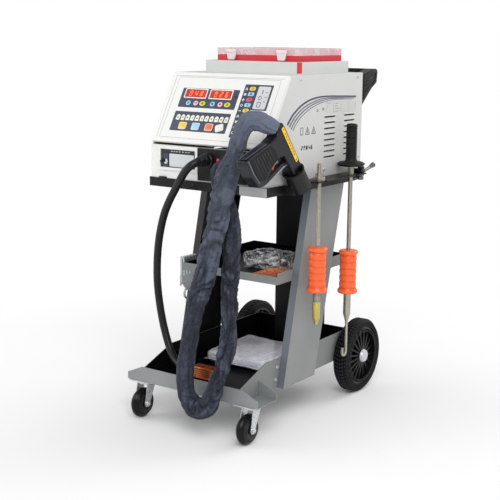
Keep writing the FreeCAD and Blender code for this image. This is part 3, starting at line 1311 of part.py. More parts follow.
def cord_wire(points, name):
    """The centre line through the points; every corner becomes a tangent arc."""
    pieces = []
    start = points[0]
    radii = []
    for i in range(1, len(points) - 1):
        here = points[i]
        back = points[i - 1] - here
        on = points[i + 1] - here
        half_turn = (math.pi - back.getAngle(on)) / 2
        reach = 0.45 * min(back.Length, on.Length)
        radius = reach / math.tan(half_turn)
        back.normalize()
        on.normalize()
        first = here + back * reach
        last = here + on * reach
        middle = here + (back + on).normalize() * (radius / math.cos(half_turn) - radius)
        pieces.append(Part.LineSegment(start, first).toShape())
        pieces.append(Part.Arc(first, middle, last).toShape())
        radii.append(radius)
        start = last
    pieces.append(Part.LineSegment(start, points[-1]).toShape())
    wire = Part.Wire(pieces)
    print(name, "length %.0f" % wire.Length, "radii",
          " ".join("%.0f" % radius for radius in radii))
    return wire


def cord_shape(points, radius, name):
    wire = cord_wire(points, name)
    section = Part.Wire([Part.Circle(points[0], points[1] - points[0], radius).toShape()])
    tube = wire.makePipeShell([section], True, False)
    expected = math.pi * radius ** 2 * wire.Length
    print(name, "volume %.4f of its section times its length" % (tube.Volume / expected))
    return tube


GUN_CORD_ROUTE = [
    (163, 3, 756), (150, -6, 747), (141, -12, 734), (137, -14, 718), (136, -13, 686),
    (128, -18, 650), (118, -24, 608), (107, -28, 562), (95, -31, 516), (82, -34, 470),
    (70, -37, 424), (58, -39, 378), (46, -41, 330), (35, -43, 284), (26, -44, 238),
    (20, -45, 192), (17, -46, 150), (19, -46, 116), (31, -47, 94), (52, -48, 81),
    (77, -48, 81), (99, -48, 94), (111, -47, 116), (116, -44, 150), (119, -39, 192),
    (120, -31, 238), (118, -20, 286), (115, -10, 334), (111, -2, 384), (109, 3, 432),
    (107, 5, 478), (104, 3, 522), (98, -2, 556), (90, -7, 584), (79.5, -10.7, 612.4),
    (74, -5, 629), (70, 7, 641.4)]
EARTH_CORD_ROUTE = [
    (-2, 0, 650), (-16, -5, 637), (-34, -1, 616), (-57, 7, 588), (-83, 15, 556),
    (-106, 23, 520), (-124, 31, 480), (-137, 37, 436), (-145, 42, 388), (-148, 46, 338),
    (-145, 50, 290), (-137, 51, 246), (-124, 49, 208), (-108, 44, 178), (-89, 37, 158),
    (-67, 29, 147), (-45, 20, 144)]


def route(start, start_way, points, end, end_way, stub):
    """Route points between two faces, leaving each one square for a short stub."""
    return [start, start + start_way * stub] + [Vector(*point) for point in points] \
        + [end + end_way * stub, end]


forward = Vector(0, -1, 0)
gun_socket_face = Vector(sheet.gun_socket_x,
                         sheet.casing_front_y - sheet.socket_panel_wall
                         - sheet.gun_socket_reach, sheet.gun_socket_z)
earth_socket_face = Vector(sheet.earth_socket_x,
                           sheet.casing_front_y - sheet.socket_panel_wall
                           - sheet.earth_socket_reach, sheet.earth_socket_z)
block_face = Vector(sheet.block_x - sheet.block_width / 2, sheet.block_y,
                    sheet.block_low_z + sheet.block_height / 2)
gun_route = route(boot_end, boot_way, GUN_CORD_ROUTE, gun_socket_face, forward,
                  sheet.gun_cord_stub)
earth_route = route(earth_socket_face, forward, EARTH_CORD_ROUTE, block_face,
                    Vector(-1, 0, 0), sheet.earth_cord_stub)
node(real(doc.addObject("Part::Feature", "gun_cord"),
          cord_shape(gun_route, sheet.gun_cord_radius, "gun_cord")), "gun_cable")
node(real(doc.addObject("Part::Feature", "earth_cord"),
          cord_shape(earth_route, sheet.earth_cord_radius, "earth_cord")), "earth_cable")

# Copper earth block with its clamp holes

block = cut(
    "block",
    box("block_solid", "block_x - block_width / 2", "block_x + block_width / 2",
        "block_y - block_depth / 2", "block_y + block_depth / 2", "block_low_z",
        "block_low_z + block_height"),
    *[cylinder("block_hole_%d" % i, "block_hole_radius", "block_height * 2",
               "block_x + block_width * %s" % share, "block_y", "block_low_z - overrun")
      for i, share in enumerate(("0.3", "-0.1"))])
node(block, "earth_block")


def claw_shape():
    """A comb of hooked fingers with a yoke and a pulling ring below."""
    wall = sheet.claw_wall
    gap = sheet.rest_gap
    x = -sheet.tray_half - gap - wall
    top = sheet.mid_low_z + sheet.mid_side_height
    y = sheet.mid_front_y + gap
    low = top - sheet.claw_drop
    inner_x = -sheet.tray_half + sheet.sheet_wall + gap
    solids = []
    for i in range(int(sheet.claw_finger_count)):
        start = y + sheet.claw_finger_pitch * i
        solids.append(Part.makeBox(wall, sheet.claw_finger, sheet.claw_drop + gap + wall,
                                   Vector(x, start, low)))
        solids.append(Part.makeBox(inner_x + wall - x, sheet.claw_finger, wall,
                                   Vector(x, start, top + gap)))
        solids.append(Part.makeBox(wall, sheet.claw_finger, sheet.claw_hook + gap + wall,
                                   Vector(inner_x, start, top - sheet.claw_hook)))
    span = sheet.claw_finger_pitch * (sheet.claw_finger_count - 1) + sheet.claw_finger
    plate_low = low + wall - sheet.claw_plate_height
    solids.append(Part.makeBox(wall, span, sheet.claw_plate_height,
                               Vector(x, y, plate_low)))
    middle = y + span / 2
    yoke_low = plate_low - sheet.claw_yoke
    yoke = [Vector(x, y, plate_low), Vector(x, y + span, plate_low),
            Vector(x, middle + wall, yoke_low), Vector(x, middle - wall, yoke_low)]
    solids.append(Part.Face(Part.makePolygon(yoke + yoke[:1])).extrude(Vector(wall, 0, 0)))
    ring = Part.makeTorus(sheet.ring_radius, sheet.ring_wire,
                          Vector(x + wall - sheet.ring_wire, middle, yoke_low
                                 - sheet.ring_radius + sheet.ring_wire), Vector(1, 0, 0))
    return solids[0].fuse(solids[1:] + [ring]).removeSplitter()


node(real(doc.addObject("Part::Feature", "claw"), claw_shape()), "claw_puller")

# What lies on the middle shelf and in the bottom tray

mid_floor = "mid_low_z + sheet_wall"
studs = []
for layer in range(int(sheet.stud_rows)):
    for i in range(int(sheet.stud_count) - layer):
        studs.append(cylinder(
            "stud_%d_%d" % (layer, i), "stud_radius", "stud_length",
            "tray_half - sheet_wall - rest_gap - stud_radius * %d" % (1 + 2 * i + layer),
            "mid_front_y + sheet_wall + rest_gap",
            mid_floor + " + stud_radius + stud_radius * 1.74 * %d" % layer, "+Y"))
node(group("stud_group", *studs), "copper_studs")
bag_right = "tray_half - sheet_wall - rest_gap"
bag_front = "mid_front_y + sheet_wall * 2 + rest_gap + stud_length"
node(box("bag", bag_right + " - bag_width", bag_right, bag_front, bag_front + " + bag_depth",
         mid_floor, mid_floor + " + bag_height"), "parts_bag")
node(box("manual", "-manual_width * 0.6", "manual_width * 0.4", "tray_slope_y * 2",
         "tray_slope_y * 2 + manual_depth", tray_low + " + sheet_wall",
         tray_low + " + sheet_wall + manual_height"), "manual_bag")


# Move everything onto the middle of the machine, leaving the cords out of its box

doc.recompute()
CORDS = ("gun_cable", "earth_cable")
measured = FreeCAD.BoundBox()
for piece in PIECES:
    if piece.Label not in CORDS:
        measured.add(piece.Shape.optimalBoundingBox(False))
sheet.set(ROWS["row_x"], "%.6f" % (-measured.Center.x))
sheet.set(ROWS["row_y"], "%.6f" % (-measured.Center.y))
doc.recompute()

faults = [item.Name for item in doc.Objects
          if "Invalid" in item.State or "Error" in item.State]
for piece in PIECES:
    if piece.Shape.isNull() or not piece.Shape.isValid() or not piece.Shape.Solids:
        faults.append(piece.Label)
if faults:
    raise RuntimeError("failed: " + ", ".join(faults))

os.makedirs("parts", exist_ok=True)
for piece in PIECES:
    piece.Shape.exportStep(os.path.join("parts", piece.Label + ".step"))
print(len(PIECES), "nodes, row moved by %.3f %.3f" % (sheet.row_x, sheet.row_y))
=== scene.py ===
import math
import random

import bpy
from mathutils import Matrix, Vector, noise


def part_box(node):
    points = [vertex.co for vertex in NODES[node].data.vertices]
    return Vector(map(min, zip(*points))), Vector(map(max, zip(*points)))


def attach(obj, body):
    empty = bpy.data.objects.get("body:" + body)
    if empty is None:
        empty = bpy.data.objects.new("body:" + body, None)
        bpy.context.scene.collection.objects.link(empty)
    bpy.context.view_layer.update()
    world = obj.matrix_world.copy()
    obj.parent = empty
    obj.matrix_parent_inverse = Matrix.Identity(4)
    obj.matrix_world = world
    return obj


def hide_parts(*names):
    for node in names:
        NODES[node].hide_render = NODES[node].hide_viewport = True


# Looks of a spot welder on its trolley. Metres, +Z up, the machine faces -Y.
# Places are given in millimetres of the trolley: X from its centre plane, Y from the
# line of the front caster wheels, Z from the floor.

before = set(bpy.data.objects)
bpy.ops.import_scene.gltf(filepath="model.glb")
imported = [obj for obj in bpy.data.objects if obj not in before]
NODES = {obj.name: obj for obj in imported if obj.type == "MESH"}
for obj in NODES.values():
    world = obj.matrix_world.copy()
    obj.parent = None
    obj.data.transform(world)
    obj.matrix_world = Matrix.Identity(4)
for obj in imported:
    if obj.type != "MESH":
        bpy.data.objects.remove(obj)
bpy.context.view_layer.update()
MM = 0.001
TRAY_REAR_Y = 495

tray_box_low, tray_box_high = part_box("bottom_tray")
ROW_X = (tray_box_low.x + tray_box_high.x) / 2
ROW_Y = tray_box_high.y - TRAY_REAR_Y * MM


def at(x, y, z):
    """A place on the trolley, in the metres of the shared frame."""
    return Vector((ROW_X + x * MM, ROW_Y + y * MM, z * MM))


# Places that several pieces share, in mm

WHEEL_X, WHEEL_Y, WHEEL_Z = 187, 507, 99.5
CASTER_X, CASTER_Z = 161, 37.5
HAMMER_X = 205
LEFT_HAMMER_Y = 228
RIGHT_HAMMER_Y = 380
SIDE_X = 169.5
FRONT_Y = 53

# Camera and light

CAMERA_PLACE = at(1538.3, -1976.6, 947.6)
CAMERA_TURN = (34.8, 11.4, 0.6)
CAMERA_LENS = 77.8
CAMERA_SHIFT = (-0.0002, 0.0046)
LAMP_AIM = (0, 0, 0.5)


def new_object(name, data):
    """An object that holds the data, linked into the scene."""
    item = bpy.data.objects.new(name, data)
    bpy.context.scene.collection.objects.link(item)
    return item


def make_camera():
    """The camera, turned by its yaw, pitch and roll in degrees."""
    data = bpy.data.cameras.new("photo_camera")
    data.sensor_width = 36
    data.lens = CAMERA_LENS
    data.shift_x, data.shift_y = CAMERA_SHIFT
    camera = new_object("photo_camera", data)
    yaw, pitch, roll = (math.radians(angle) for angle in CAMERA_TURN)
    ahead = Vector((-math.sin(yaw) * math.cos(pitch), math.cos(yaw) * math.cos(pitch),
                    -math.sin(pitch)))
    flat = Vector((math.cos(yaw), math.sin(yaw), 0))
    up = flat.cross(ahead)
    right = flat * math.cos(roll) + up * math.sin(roll)
    top = up * math.cos(roll) - flat * math.sin(roll)
    turn = Matrix((right, top, -ahead)).transposed()
    camera.matrix_world = Matrix.Translation(CAMERA_PLACE) @ turn.to_4x4()
    bpy.context.scene.camera = camera


make_camera()
bpy.context.scene.view_settings.view_transform = "Standard"


def soft_lamp(name, place, width, power):
    """A square lamp that shines on the middle of the machine."""
    data = bpy.data.lights.new(name, "AREA")
    data.size = width
    data.energy = power
    lamp = new_object(name, data)
    lamp.location = place
    lamp.rotation_euler = (Vector(LAMP_AIM) - Vector(place)).to_track_quat("-Z", "Y").to_euler()


soft_lamp("key_light", (2.2, -2.6, 3.0), 2.4, 95)
soft_lamp("fill_light", (-3.0, -1.8, 1.8), 2.6, 42)
soft_lamp("rear_light", (1.2, 3.0, 2.4), 2.4, 50)

# Shader helpers


def rgb(red, green, blue):
    """A colour as a screen writes it, made linear."""
    def line(value):
        share = value / 255
        return share / 12.92 if share <= 0.04045 else ((share + 0.055) / 1.055) ** 2.4
    return (line(red), line(green), line(blue), 1.0)


def wire(tree, made, wired):
    """Link or set the inputs of a shader node."""
    for key, value in wired.items():
        if isinstance(value, bpy.types.NodeSocket):
            tree.links.new(value, made.inputs[key])
        else:
            made.inputs[key].default_value = value


def node(tree, kind, wired=None, **options):
    """A new shader node with its inputs and options."""
    made = tree.nodes.new("ShaderNode" + kind)
    for option, value in options.items():
        setattr(made, option, value)
    wire(tree, made, wired or {})
    return made


def calc(tree, operation, *values, clamp=False):
    """The result of one operation on values or sockets."""
    made = node(tree, "Math", dict(enumerate(values)), operation=operation, use_clamp=clamp)
    return made.outputs[0]


def mixed(tree, share, first, second, way="MIX"):
    """One colour laid over another by a share."""
    made = node(tree, "Mix", {0: share, 6: first, 7: second}, data_type="RGBA",
                blend_type=way)
    return made.outputs[2]


def between(tree, value, low, high, to_low=0.0, to_high=1.0):
    """The value's place between two limits, held inside them."""
    made = node(tree, "MapRange", {0: value, 1: low, 2: high, 3: to_low, 4: to_high})
    return made.outputs[0]


def split(tree, vector):
    """The three numbers of a vector."""
    return node(tree, "SeparateXYZ", {0: vector}).outputs


def inside(tree, value, low, high):
    """1 where the value lies between two limits."""
    return calc(tree, "MULTIPLY", calc(tree, "GREATER_THAN", value, low),
                calc(tree, "LESS_THAN", value, high))


def object_place(tree):
    """Where a point of the surface lies."""
    return node(tree, "TexCoord").outputs["Object"]


def cloudy(tree, place, scale, detail=2.0, roughness=0.5):
    """A value that drifts between 0 and 1 from place to place."""
    return node(tree, "TexNoise", {"Vector": place, "Scale": scale, "Detail": detail,
                                   "Roughness": roughness}).outputs["Fac"]


def bumped(tree, strength, distance, height):
    """The normal of a surface made uneven by a height."""
    return node(tree, "Bump", {"Strength": strength, "Distance": distance,
                               "Height": height}).outputs[0]


def crest_of(tree):
    """How high a fold of cloth or film stands at a point."""
    return node(tree, "Attribute", attribute_name="crest").outputs["Fac"]


def keep_crests(mesh, crests):
    """Keep how high the folds stand, a value for each point."""
    attribute = mesh.attributes.new("crest", "FLOAT", "POINT")
    attribute.data.foreach_set("value", crests)


def new_group(name, inputs, outputs):
    """An empty group of shader nodes, its inputs and its output node."""
    tree = bpy.data.node_groups.new(name, "ShaderNodeTree")
    for label, value in inputs:
        kind = "NodeSocketColor" if isinstance(value, tuple) else "NodeSocketFloat"
        tree.interface.new_socket(label, in_out="INPUT", socket_type=kind).default_value \
            = value
    for label, kind in outputs:
        tree.interface.new_socket(label, in_out="OUTPUT", socket_type="NodeSocket" + kind)
    return tree, tree.nodes.new("NodeGroupInput").outputs, \
        tree.nodes.new("NodeGroupOutput")


def hard_surface_group():
    """Edges, where a finish shows wear and painted highlight, its fine grain and its slow
    cloudiness.
    """
    tree, given, out = new_group(
        "hard_surface",
        [("Edge Width", 0.0008), ("Grain Scale", 700.0), ("Grain Depth", 0.15),
         ("Cloud Scale", 7.0)],
        [("Edge", "Float"), ("Grain", "Float"), ("Cloud", "Float"), ("Normal", "Vector")])
    place = object_place(tree)
    grain = cloudy(tree, place, given["Grain Scale"])
    cloud = cloudy(tree, place, given["Cloud Scale"], 5.0, 0.6)
    rounded = node(tree, "Bevel", {"Radius": given["Edge Width"]}, samples=4)
    face = node(tree, "NewGeometry").outputs["Normal"]
    along = node(tree, "VectorMath", {0: rounded.outputs[0], 1: face},
                 operation="DOT_PRODUCT").outputs["Value"]
    broken = cloudy(tree, place, 160.0, 3.0)
    edge = calc(tree, "MULTIPLY", between(tree, along, 0.995, 0.86),
                between(tree, broken, 0.38, 0.62), clamp=True)
    bump = node(tree, "Bump", {"Strength": given["Grain Depth"], "Distance": 0.0006,
                               "Height": grain, "Normal": rounded.outputs[0]})
    wire(tree, out, {"Edge": edge, "Grain": grain, "Cloud": cloud,
                     "Normal": bump.outputs[0]})
    return tree


HARD_SURFACE = hard_surface_group()
ROUGH_SPREAD = 0.06


def new_material(name):
    """A new material, its tree and its main shader."""
    material = bpy.data.materials.new(name)
    material.use_nodes = True
    return material, material.node_tree, material.node_tree.nodes["Principled BSDF"]


def hard_finish(name, colour, roughness=0.4, metallic=0.0, edge_colour=None, edge_share=0.5,
                cloud_share=0.12, grain_scale=700.0, grain_depth=0.15, edge_width=0.0008,
                cloud_scale=7.0, coat=0.0, painter=None, shine=0.5):
    """A hard finish: its colour drifts a little, its grain shows, its edges are lightened as
    wear and painted highlight.
    """
    material, tree, shader = new_material(name)
    group = node(tree, "Group", node_tree=HARD_SURFACE)
    wire(tree, group, {"Edge Width": edge_width, "Grain Scale": grain_scale,
                       "Grain Depth": grain_depth, "Cloud Scale": cloud_scale})
    out = group.outputs
    base = colour if painter is None else painter(tree)
    darker = mixed(tree, 1.0, base, (0.72, 0.72, 0.74, 1.0), "MULTIPLY")
    drift = between(tree, out["Cloud"], 0.35, 0.75, 0.0, cloud_share * 3)
    shade = mixed(tree, drift, base, darker)
    # Wear and painted highlight: the edges are mixed towards a lighter colour.
    if edge_colour is not None:
        shade = mixed(tree, calc(tree, "MULTIPLY", out["Edge"], edge_share), shade,
                      edge_colour)
    spread = between(tree, out["Grain"], 0.3, 0.7, roughness - ROUGH_SPREAD,
                     roughness + ROUGH_SPREAD)
    rough = calc(tree, "ADD", spread, between(tree, out["Cloud"], 0.3, 0.7, -0.05, 0.05))
    wire(tree, shader, {"Base Color": shade, "Roughness": rough, "Metallic": metallic,
                        "Normal": out["Normal"], "Coat Weight": coat,
                        "Specular IOR Level": shine})
    if coat:
        shader.inputs["Coat Roughness"].default_value = 0.12
    return material


def place_split(tree):
    """The three coordinates of a point of the surface, in metres."""
    return split(tree, object_place(tree))


TYRE_MIDDLE = 0.17
TREAD_FOOT, TREAD_TOP = 0.0925, 0.0945


def tread_light_and_shade_painter(tree):
    """Rows of slanted blocks round the tyre, painted lighter as highlight, parted by grooves
    painted near black as shade.
    """
    x, y, z = place_split(tree)
    rise = calc(tree, "SUBTRACT", z, WHEEL_Z * MM)
    back = calc(tree, "SUBTRACT", y, ROW_Y + WHEEL_Y * MM)
    turned = calc(tree, "ARCTAN2", rise, back)
    reach = calc(tree, "SQRT", calc(tree, "ADD", calc(tree, "MULTIPLY", rise, rise),
                                    calc(tree, "MULTIPLY", back, back)))
    across = calc(tree, "SUBTRACT", calc(tree, "ABSOLUTE", calc(tree, "SUBTRACT", x, ROW_X)),
                  TYRE_MIDDLE)
    slant = calc(tree, "MULTIPLY", calc(tree, "ABSOLUTE", across), 150.0)
    rows = calc(tree, "SINE", calc(tree, "ADD", calc(tree, "MULTIPLY", turned, 58.0), slant))
    lanes = calc(tree, "SINE", calc(tree, "MULTIPLY", across, 900.0))
    block = calc(tree, "MULTIPLY", between(tree, rows, -0.1, 0.3),
                 between(tree, lanes, -0.5, -0.1), clamp=True)
    raised = between(tree, reach, TREAD_FOOT, TREAD_TOP)
    block = calc(tree, "MULTIPLY", block, raised, clamp=True)
    # Painted shade: the tread between the blocks is near black; painted highlight: the blocks
    # are lighter.
    side = mixed(tree, raised, rgb(12, 12, 13), rgb(2, 2, 3))
    return mixed(tree, block, side, rgb(50, 50, 54))


# Finishes of the sheet metal, whose insides and column channels are painted dark as painted
# shade

GREY = rgb(136, 139, 138)
BEAM_GREY = rgb(138, 143, 143)
FLANGE_SHADE_GREY = rgb(104, 111, 118)
BLACK = rgb(13, 13, 15)
LIGHT = rgb(206, 207, 204)
WHITE = rgb(228, 228, 225)
BARE = rgb(168, 168, 166)
INNER_HALF = 0.1449
COLUMN_SKIN = 0.1657


def inside_shade_painter(floor_z, wall_y, test):
    """Grey outside; inside, above the floor and on one side of the end wall, painted black as
    shade.
    """
    def paint(tree):
        x, y, z = place_split(tree)
        wide = calc(tree, "ABSOLUTE", calc(tree, "SUBTRACT", x, ROW_X))
        held = calc(tree, "MULTIPLY", calc(tree, "LESS_THAN", wide, INNER_HALF),
                    calc(tree, "MULTIPLY", calc(tree, "GREATER_THAN", z, floor_z),
                         calc(tree, test, y, ROW_Y + wall_y)))
        # Painted shade: black on the inner faces of the tray and the shelf.
        return mixed(tree, held, GREY, BLACK)
    return paint


def column_shade_painter(side):
    """A side column: grey outer face; flanges and channel painted darker as shade, grey-blue on
    the right and black on the left.
    """
    def paint(tree):
        x = place_split(tree)[0]
        out = calc(tree, "MULTIPLY", calc(tree, "SUBTRACT", x, ROW_X), side)
        skin = calc(tree, "GREATER_THAN", out, COLUMN_SKIN)
        # Painted shade: the same sheet is grey-blue inside the right column and black inside the
        # left one.
        channel_shade = FLANGE_SHADE_GREY if side > 0 else BLACK
        return mixed(tree, skin, channel_shade, GREY)
    return paint


def weight_light_and_shade_painter(tree):
    """Orange painted paler on the bulges as highlight and redder in the grooves as shade, on the
    weights.
    """
    lit_bulge = node(tree, "NewGeometry").outputs["Pointiness"]
    # Painted highlight on the convex bulges, painted shade in the concave grooves.
    return mixed(tree, between(tree, lit_bulge, 0.45, 0.53), rgb(226, 66, 24),
                 rgb(252, 108, 52))


def sheet_coat(name, colour, roughness, edge_share, **options):
    """The paint of bent sheet metal, worn bare at its edges."""
    return hard_finish(name, colour, roughness, edge_colour=BARE, edge_share=edge_share,
                       grain_scale=420.0, grain_depth=0.1, **options)


# The lighter edge colours below stand partly for wear, partly for painted highlight.
beam_grey = sheet_coat("beam_grey", BEAM_GREY, 0.36, 0.4)
tray_coat = sheet_coat("tray_coat", GREY, 0.4, 0.45, shine=0.06,
                       painter=inside_shade_painter(0.0989, 0.4941, "LESS_THAN"))
shelf_coat = sheet_coat("shelf_coat", GREY, 0.4, 0.45, shine=0.06,
                        painter=inside_shade_painter(0.3569, 0.1431, "GREATER_THAN"))
left_column_coat = sheet_coat("left_column_coat", GREY, 0.4, 0.3,
                              painter=column_shade_painter(-1))
right_column_coat = sheet_coat("right_column_coat", GREY, 0.4, 0.3,
                               painter=column_shade_painter(1))
frame_black = hard_finish("frame_black", BLACK, 0.42, edge_colour=rgb(78, 78, 82),
                          edge_share=0.5, grain_scale=420.0, grain_depth=0.12, shine=0.3)
casing_light = hard_finish("casing_light", LIGHT, 0.48, edge_colour=rgb(232, 232, 228),
                           edge_share=0.6, cloud_share=0.04, grain_scale=1100.0,
                           grain_depth=0.16)
panel_white = hard_finish("panel_white", WHITE, 0.36, edge_colour=rgb(244, 244, 240),
                          edge_share=0.5, cloud_share=0.04, grain_scale=900.0,
                          grain_depth=0.08)
tray_light = hard_finish("tray_light", rgb(208, 210, 208), 0.42,
                         edge_colour=rgb(235, 235, 232), cloud_share=0.06,
                         grain_depth=0.1)
black_plastic = hard_finish("black_plastic", rgb(15, 15, 17), 0.34,
                            edge_colour=rgb(74, 76, 82), edge_share=0.45,
                            grain_scale=1500.0, grain_depth=0.2, shine=0.35)
gun_plastic = hard_finish("gun_plastic", rgb(20, 21, 28), 0.3,
                          edge_colour=rgb(104, 108, 118), edge_share=0.5,
                          edge_width=0.0014, grain_scale=1700.0, grain_depth=0.16,
                          shine=0.4)
dull_rubber = hard_finish("dull_rubber", rgb(16, 16, 18), 0.62, grain_scale=1300.0,
                          grain_depth=0.25, edge_colour=rgb(60, 60, 64), edge_share=0.3,
                          shine=0.3)
tyre_rubber = hard_finish("tyre_rubber", rgb(12, 12, 13), 0.6, grain_scale=900.0,
                          grain_depth=0.35, edge_colour=rgb(70, 70, 72), edge_share=0.5,
                          cloud_scale=22.0, cloud_share=0.2, shine=0.12,
                          painter=tread_light_and_shade_painter)
caster_rubber = hard_finish("caster_rubber", rgb(9, 9, 11), 0.3, grain_scale=700.0,
                            grain_depth=0.08, edge_colour=rgb(70, 70, 74), shine=0.22)
zinc = hard_finish("zinc", rgb(216, 219, 221), 0.3, 0.7, edge_colour=rgb(240, 242, 242),
                   grain_scale=300.0, grain_depth=0.05, cloud_scale=34.0,
                   cloud_share=0.2)
rod_steel = hard_finish("rod_steel", rgb(178, 172, 158), 0.28, 0.9,
                        edge_colour=rgb(220, 216, 204), grain_scale=500.0,
                        grain_depth=0.05, cloud_scale=40.0, cloud_share=0.2)
cap_silver = hard_finish("cap_silver", rgb(206, 206, 212), 0.34, 0.35,
                         edge_colour=rgb(236, 236, 240), grain_depth=0.05)
cable_rubber = hard_finish("cable_rubber", rgb(17, 17, 20), 0.4, grain_scale=900.0,
                           grain_depth=0.1, cloud_scale=30.0, cloud_share=0.12, shine=0.35)
weight_orange = hard_finish("weight_orange", rgb(250, 92, 36), 0.28,
                            edge_colour=rgb(255, 166, 110), edge_share=0.5,
                            edge_width=0.001, grain_scale=900.0, grain_depth=0.08,
                            cloud_share=0.08, painter=weight_light_and_shade_painter)
orange_plastic = hard_finish("orange_plastic", rgb(250, 92, 36), 0.3,
                             edge_colour=rgb(255, 158, 104), edge_share=0.55,
                             edge_width=0.001, grain_scale=900.0, grain_depth=0.08,
                             cloud_share=0.08)
copper = hard_finish("copper", rgb(186, 104, 62), 0.32, 0.75,
                     edge_colour=rgb(236, 160, 112), edge_share=0.7, grain_scale=500.0,
                     grain_depth=0.12, cloud_scale=46.0, cloud_share=0.3)
lever_steel = hard_finish("lever_steel", rgb(120, 119, 116), 0.26, 0.9,
                          edge_colour=rgb(214, 212, 206), grain_depth=0.05,
                          cloud_scale=60.0, cloud_share=0.4)
clamp_steel = hard_finish("clamp_steel", rgb(62, 62, 64), 0.3, 0.75,
                          edge_colour=rgb(210, 208, 204), edge_share=0.9,
                          grain_depth=0.1, cloud_scale=80.0, cloud_share=0.5)
claw_steel = hard_finish("claw_steel", rgb(190, 198, 198), 0.34, 0.7,
                         edge_colour=rgb(196, 206, 204), edge_share=0.8, grain_scale=300.0,
                         grain_depth=0.08, cloud_scale=40.0, cloud_share=0.3)
dark_copper = hard_finish("dark_copper", rgb(92, 44, 26), 0.4, 0.5, grain_depth=0.1,
                          cloud_scale=50.0, cloud_share=0.3)
stud_copper = hard_finish("stud_copper", rgb(224, 118, 56), 0.24, 0.7,
                          edge_colour=rgb(255, 190, 140), edge_share=0.8,
                          grain_scale=520.0, grain_depth=0.3, cloud_scale=120.0,
                          cloud_share=0.3)
red_plastic = hard_finish("red_plastic", rgb(214, 44, 58), 0.3,
                          edge_colour=rgb(240, 120, 128), grain_scale=1200.0,
                          grain_depth=0.06)
core_steel = hard_finish("core_steel", rgb(120, 122, 126), 0.4, 0.8, grain_scale=220.0,
                         grain_depth=0.2)
aluminium = hard_finish("aluminium", rgb(190, 192, 195), 0.35, 0.9, grain_scale=260.0,
                        grain_depth=0.08)
board_green = hard_finish("board_green", rgb(24, 96, 52), 0.4, grain_scale=260.0,
                          grain_depth=0.1)

CAD_FINISHES = {
    tray_coat: "bottom_tray",
    beam_grey: "front_beam",
    left_column_coat: "left_column",
    right_column_coat: "right_column",
    shelf_coat: "mid_shelf",
    frame_black: "rear_upright top_shelf axle_ears tool_bracket",
    zinc: "rear_axle caster_plates caster_fork_left caster_fork_right fasteners",
    tyre_rubber: "rear_tyre_left rear_tyre_right",
    caster_rubber: "caster_wheel_left caster_wheel_right",
    black_plastic: "rear_rim_left rear_rim_right push_handle breaker_body breaker_toggle"
                   " socket_panel output_sockets gun_cup",
    casing_light: "casing_cover rear_panel",
    panel_white: "base_pan control_fascia control_membrane breaker_frame case_latch_left"
                 " case_latch_right",
    core_steel: "transformer_core",
    copper: "transformer_coil gun_nose earth_block",
    aluminium: "thyristor_stack",
    board_green: "control_board",
    tray_light: "top_tray",
    red_plastic: "case_base case_lid",
    lever_steel: "clamp_lever",
    orange_plastic: "left_hammer_weight right_hammer_weight gun_trigger",
    rod_steel: "left_hammer_rod right_hammer_rod",
    dull_rubber: "right_hammer_grip gun_boot",
    gun_plastic: "gun_shell_left gun_shell_right",
    claw_steel: "claw_puller",
    stud_copper: "copper_studs",
}


def coated(node_name, finish):
    """Give a solid of the frame its finish."""
    holder = NODES[node_name].data.materials
    holder.clear()
    holder.append(finish)


for finish, node_names in CAD_FINISHES.items():
    for node_name in node_names.split():
        coated(node_name, finish)

# Modelling helpers


def take(item):
    """Select one piece alone and make it the one that is worked on."""
    if bpy.context.mode != "OBJECT":
        bpy.ops.object.mode_set(mode="OBJECT")
    bpy.ops.object.select_all(action="DESELECT")
    item.select_set(True)
    bpy.context.view_layer.objects.active = item


def edit_all():
    """Go into edit mode with the whole mesh selected."""
    bpy.ops.object.mode_set(mode="EDIT")
    bpy.ops.mesh.select_all(action="SELECT")


def released(item, place=None):
    """Leave edit mode, put the mesh where it belongs and the object at the origin."""
    take(item)
    bpy.ops.object.transform_apply(location=True, rotation=True, scale=True)
    if place is not None:
        item.data.transform(place)
    item.data.update()
    return item


def closed(item):
    """Merge doubled points and turn every face outwards."""
    take(item)
    edit_all()
    bpy.ops.mesh.remove_doubles(threshold=0.00001)
    bpy.ops.mesh.normals_make_consistent(inside=False)
    bpy.ops.object.mode_set(mode="OBJECT")


def bevelled(item, offset, segments):
    """Round or chamfer every edge of a piece."""
    take(item)
    edit_all()
    bpy.ops.mesh.bevel(offset=offset, segments=segments, affect="EDGES")
    bpy.ops.object.mode_set(mode="OBJECT")
    return item


def turned_piece(name, profile, place, sides=40):
    """A piece raised ring by ring from a disc; the profile is (radius, height) in mm."""
    bpy.ops.object.select_all(action="DESELECT")
    radius, height = profile[0]
    bpy.ops.mesh.primitive_circle_add(vertices=sides, radius=radius * MM, fill_type="NGON",
                                      location=(0, 0, height * MM))
    item = bpy.context.active_object
    item.name = name
    bpy.ops.object.transform_apply(location=True)
    edit_all()
    for next_radius, next_height in profile[1:]:
        bpy.ops.mesh.extrude_region_move(
            TRANSFORM_OT_translate={"value": (0, 0, (next_height - height) * MM)})
        share = next_radius / radius
        bpy.ops.transform.resize(value=(share, share, 1),
                                 center_override=(0, 0, next_height * MM))
        radius, height = next_radius, next_height
    bpy.ops.object.mode_set(mode="OBJECT")
    closed(item)
    return released(item, place)


def rounded_box(name, low, high, radius, place=None, segments=2):
    """A box between two corners in mm whose edges are rounded."""
    bpy.ops.object.select_all(action="DESELECT")
    low = Vector(low) * MM
    high = Vector(high) * MM
    bpy.ops.mesh.primitive_cube_add(size=1, location=(low + high) / 2, scale=high - low)
    item = bpy.context.active_object
    item.name = name
    bpy.ops.object.transform_apply(location=True, scale=True)
    return released(bevelled(item, radius * MM, segments), place)


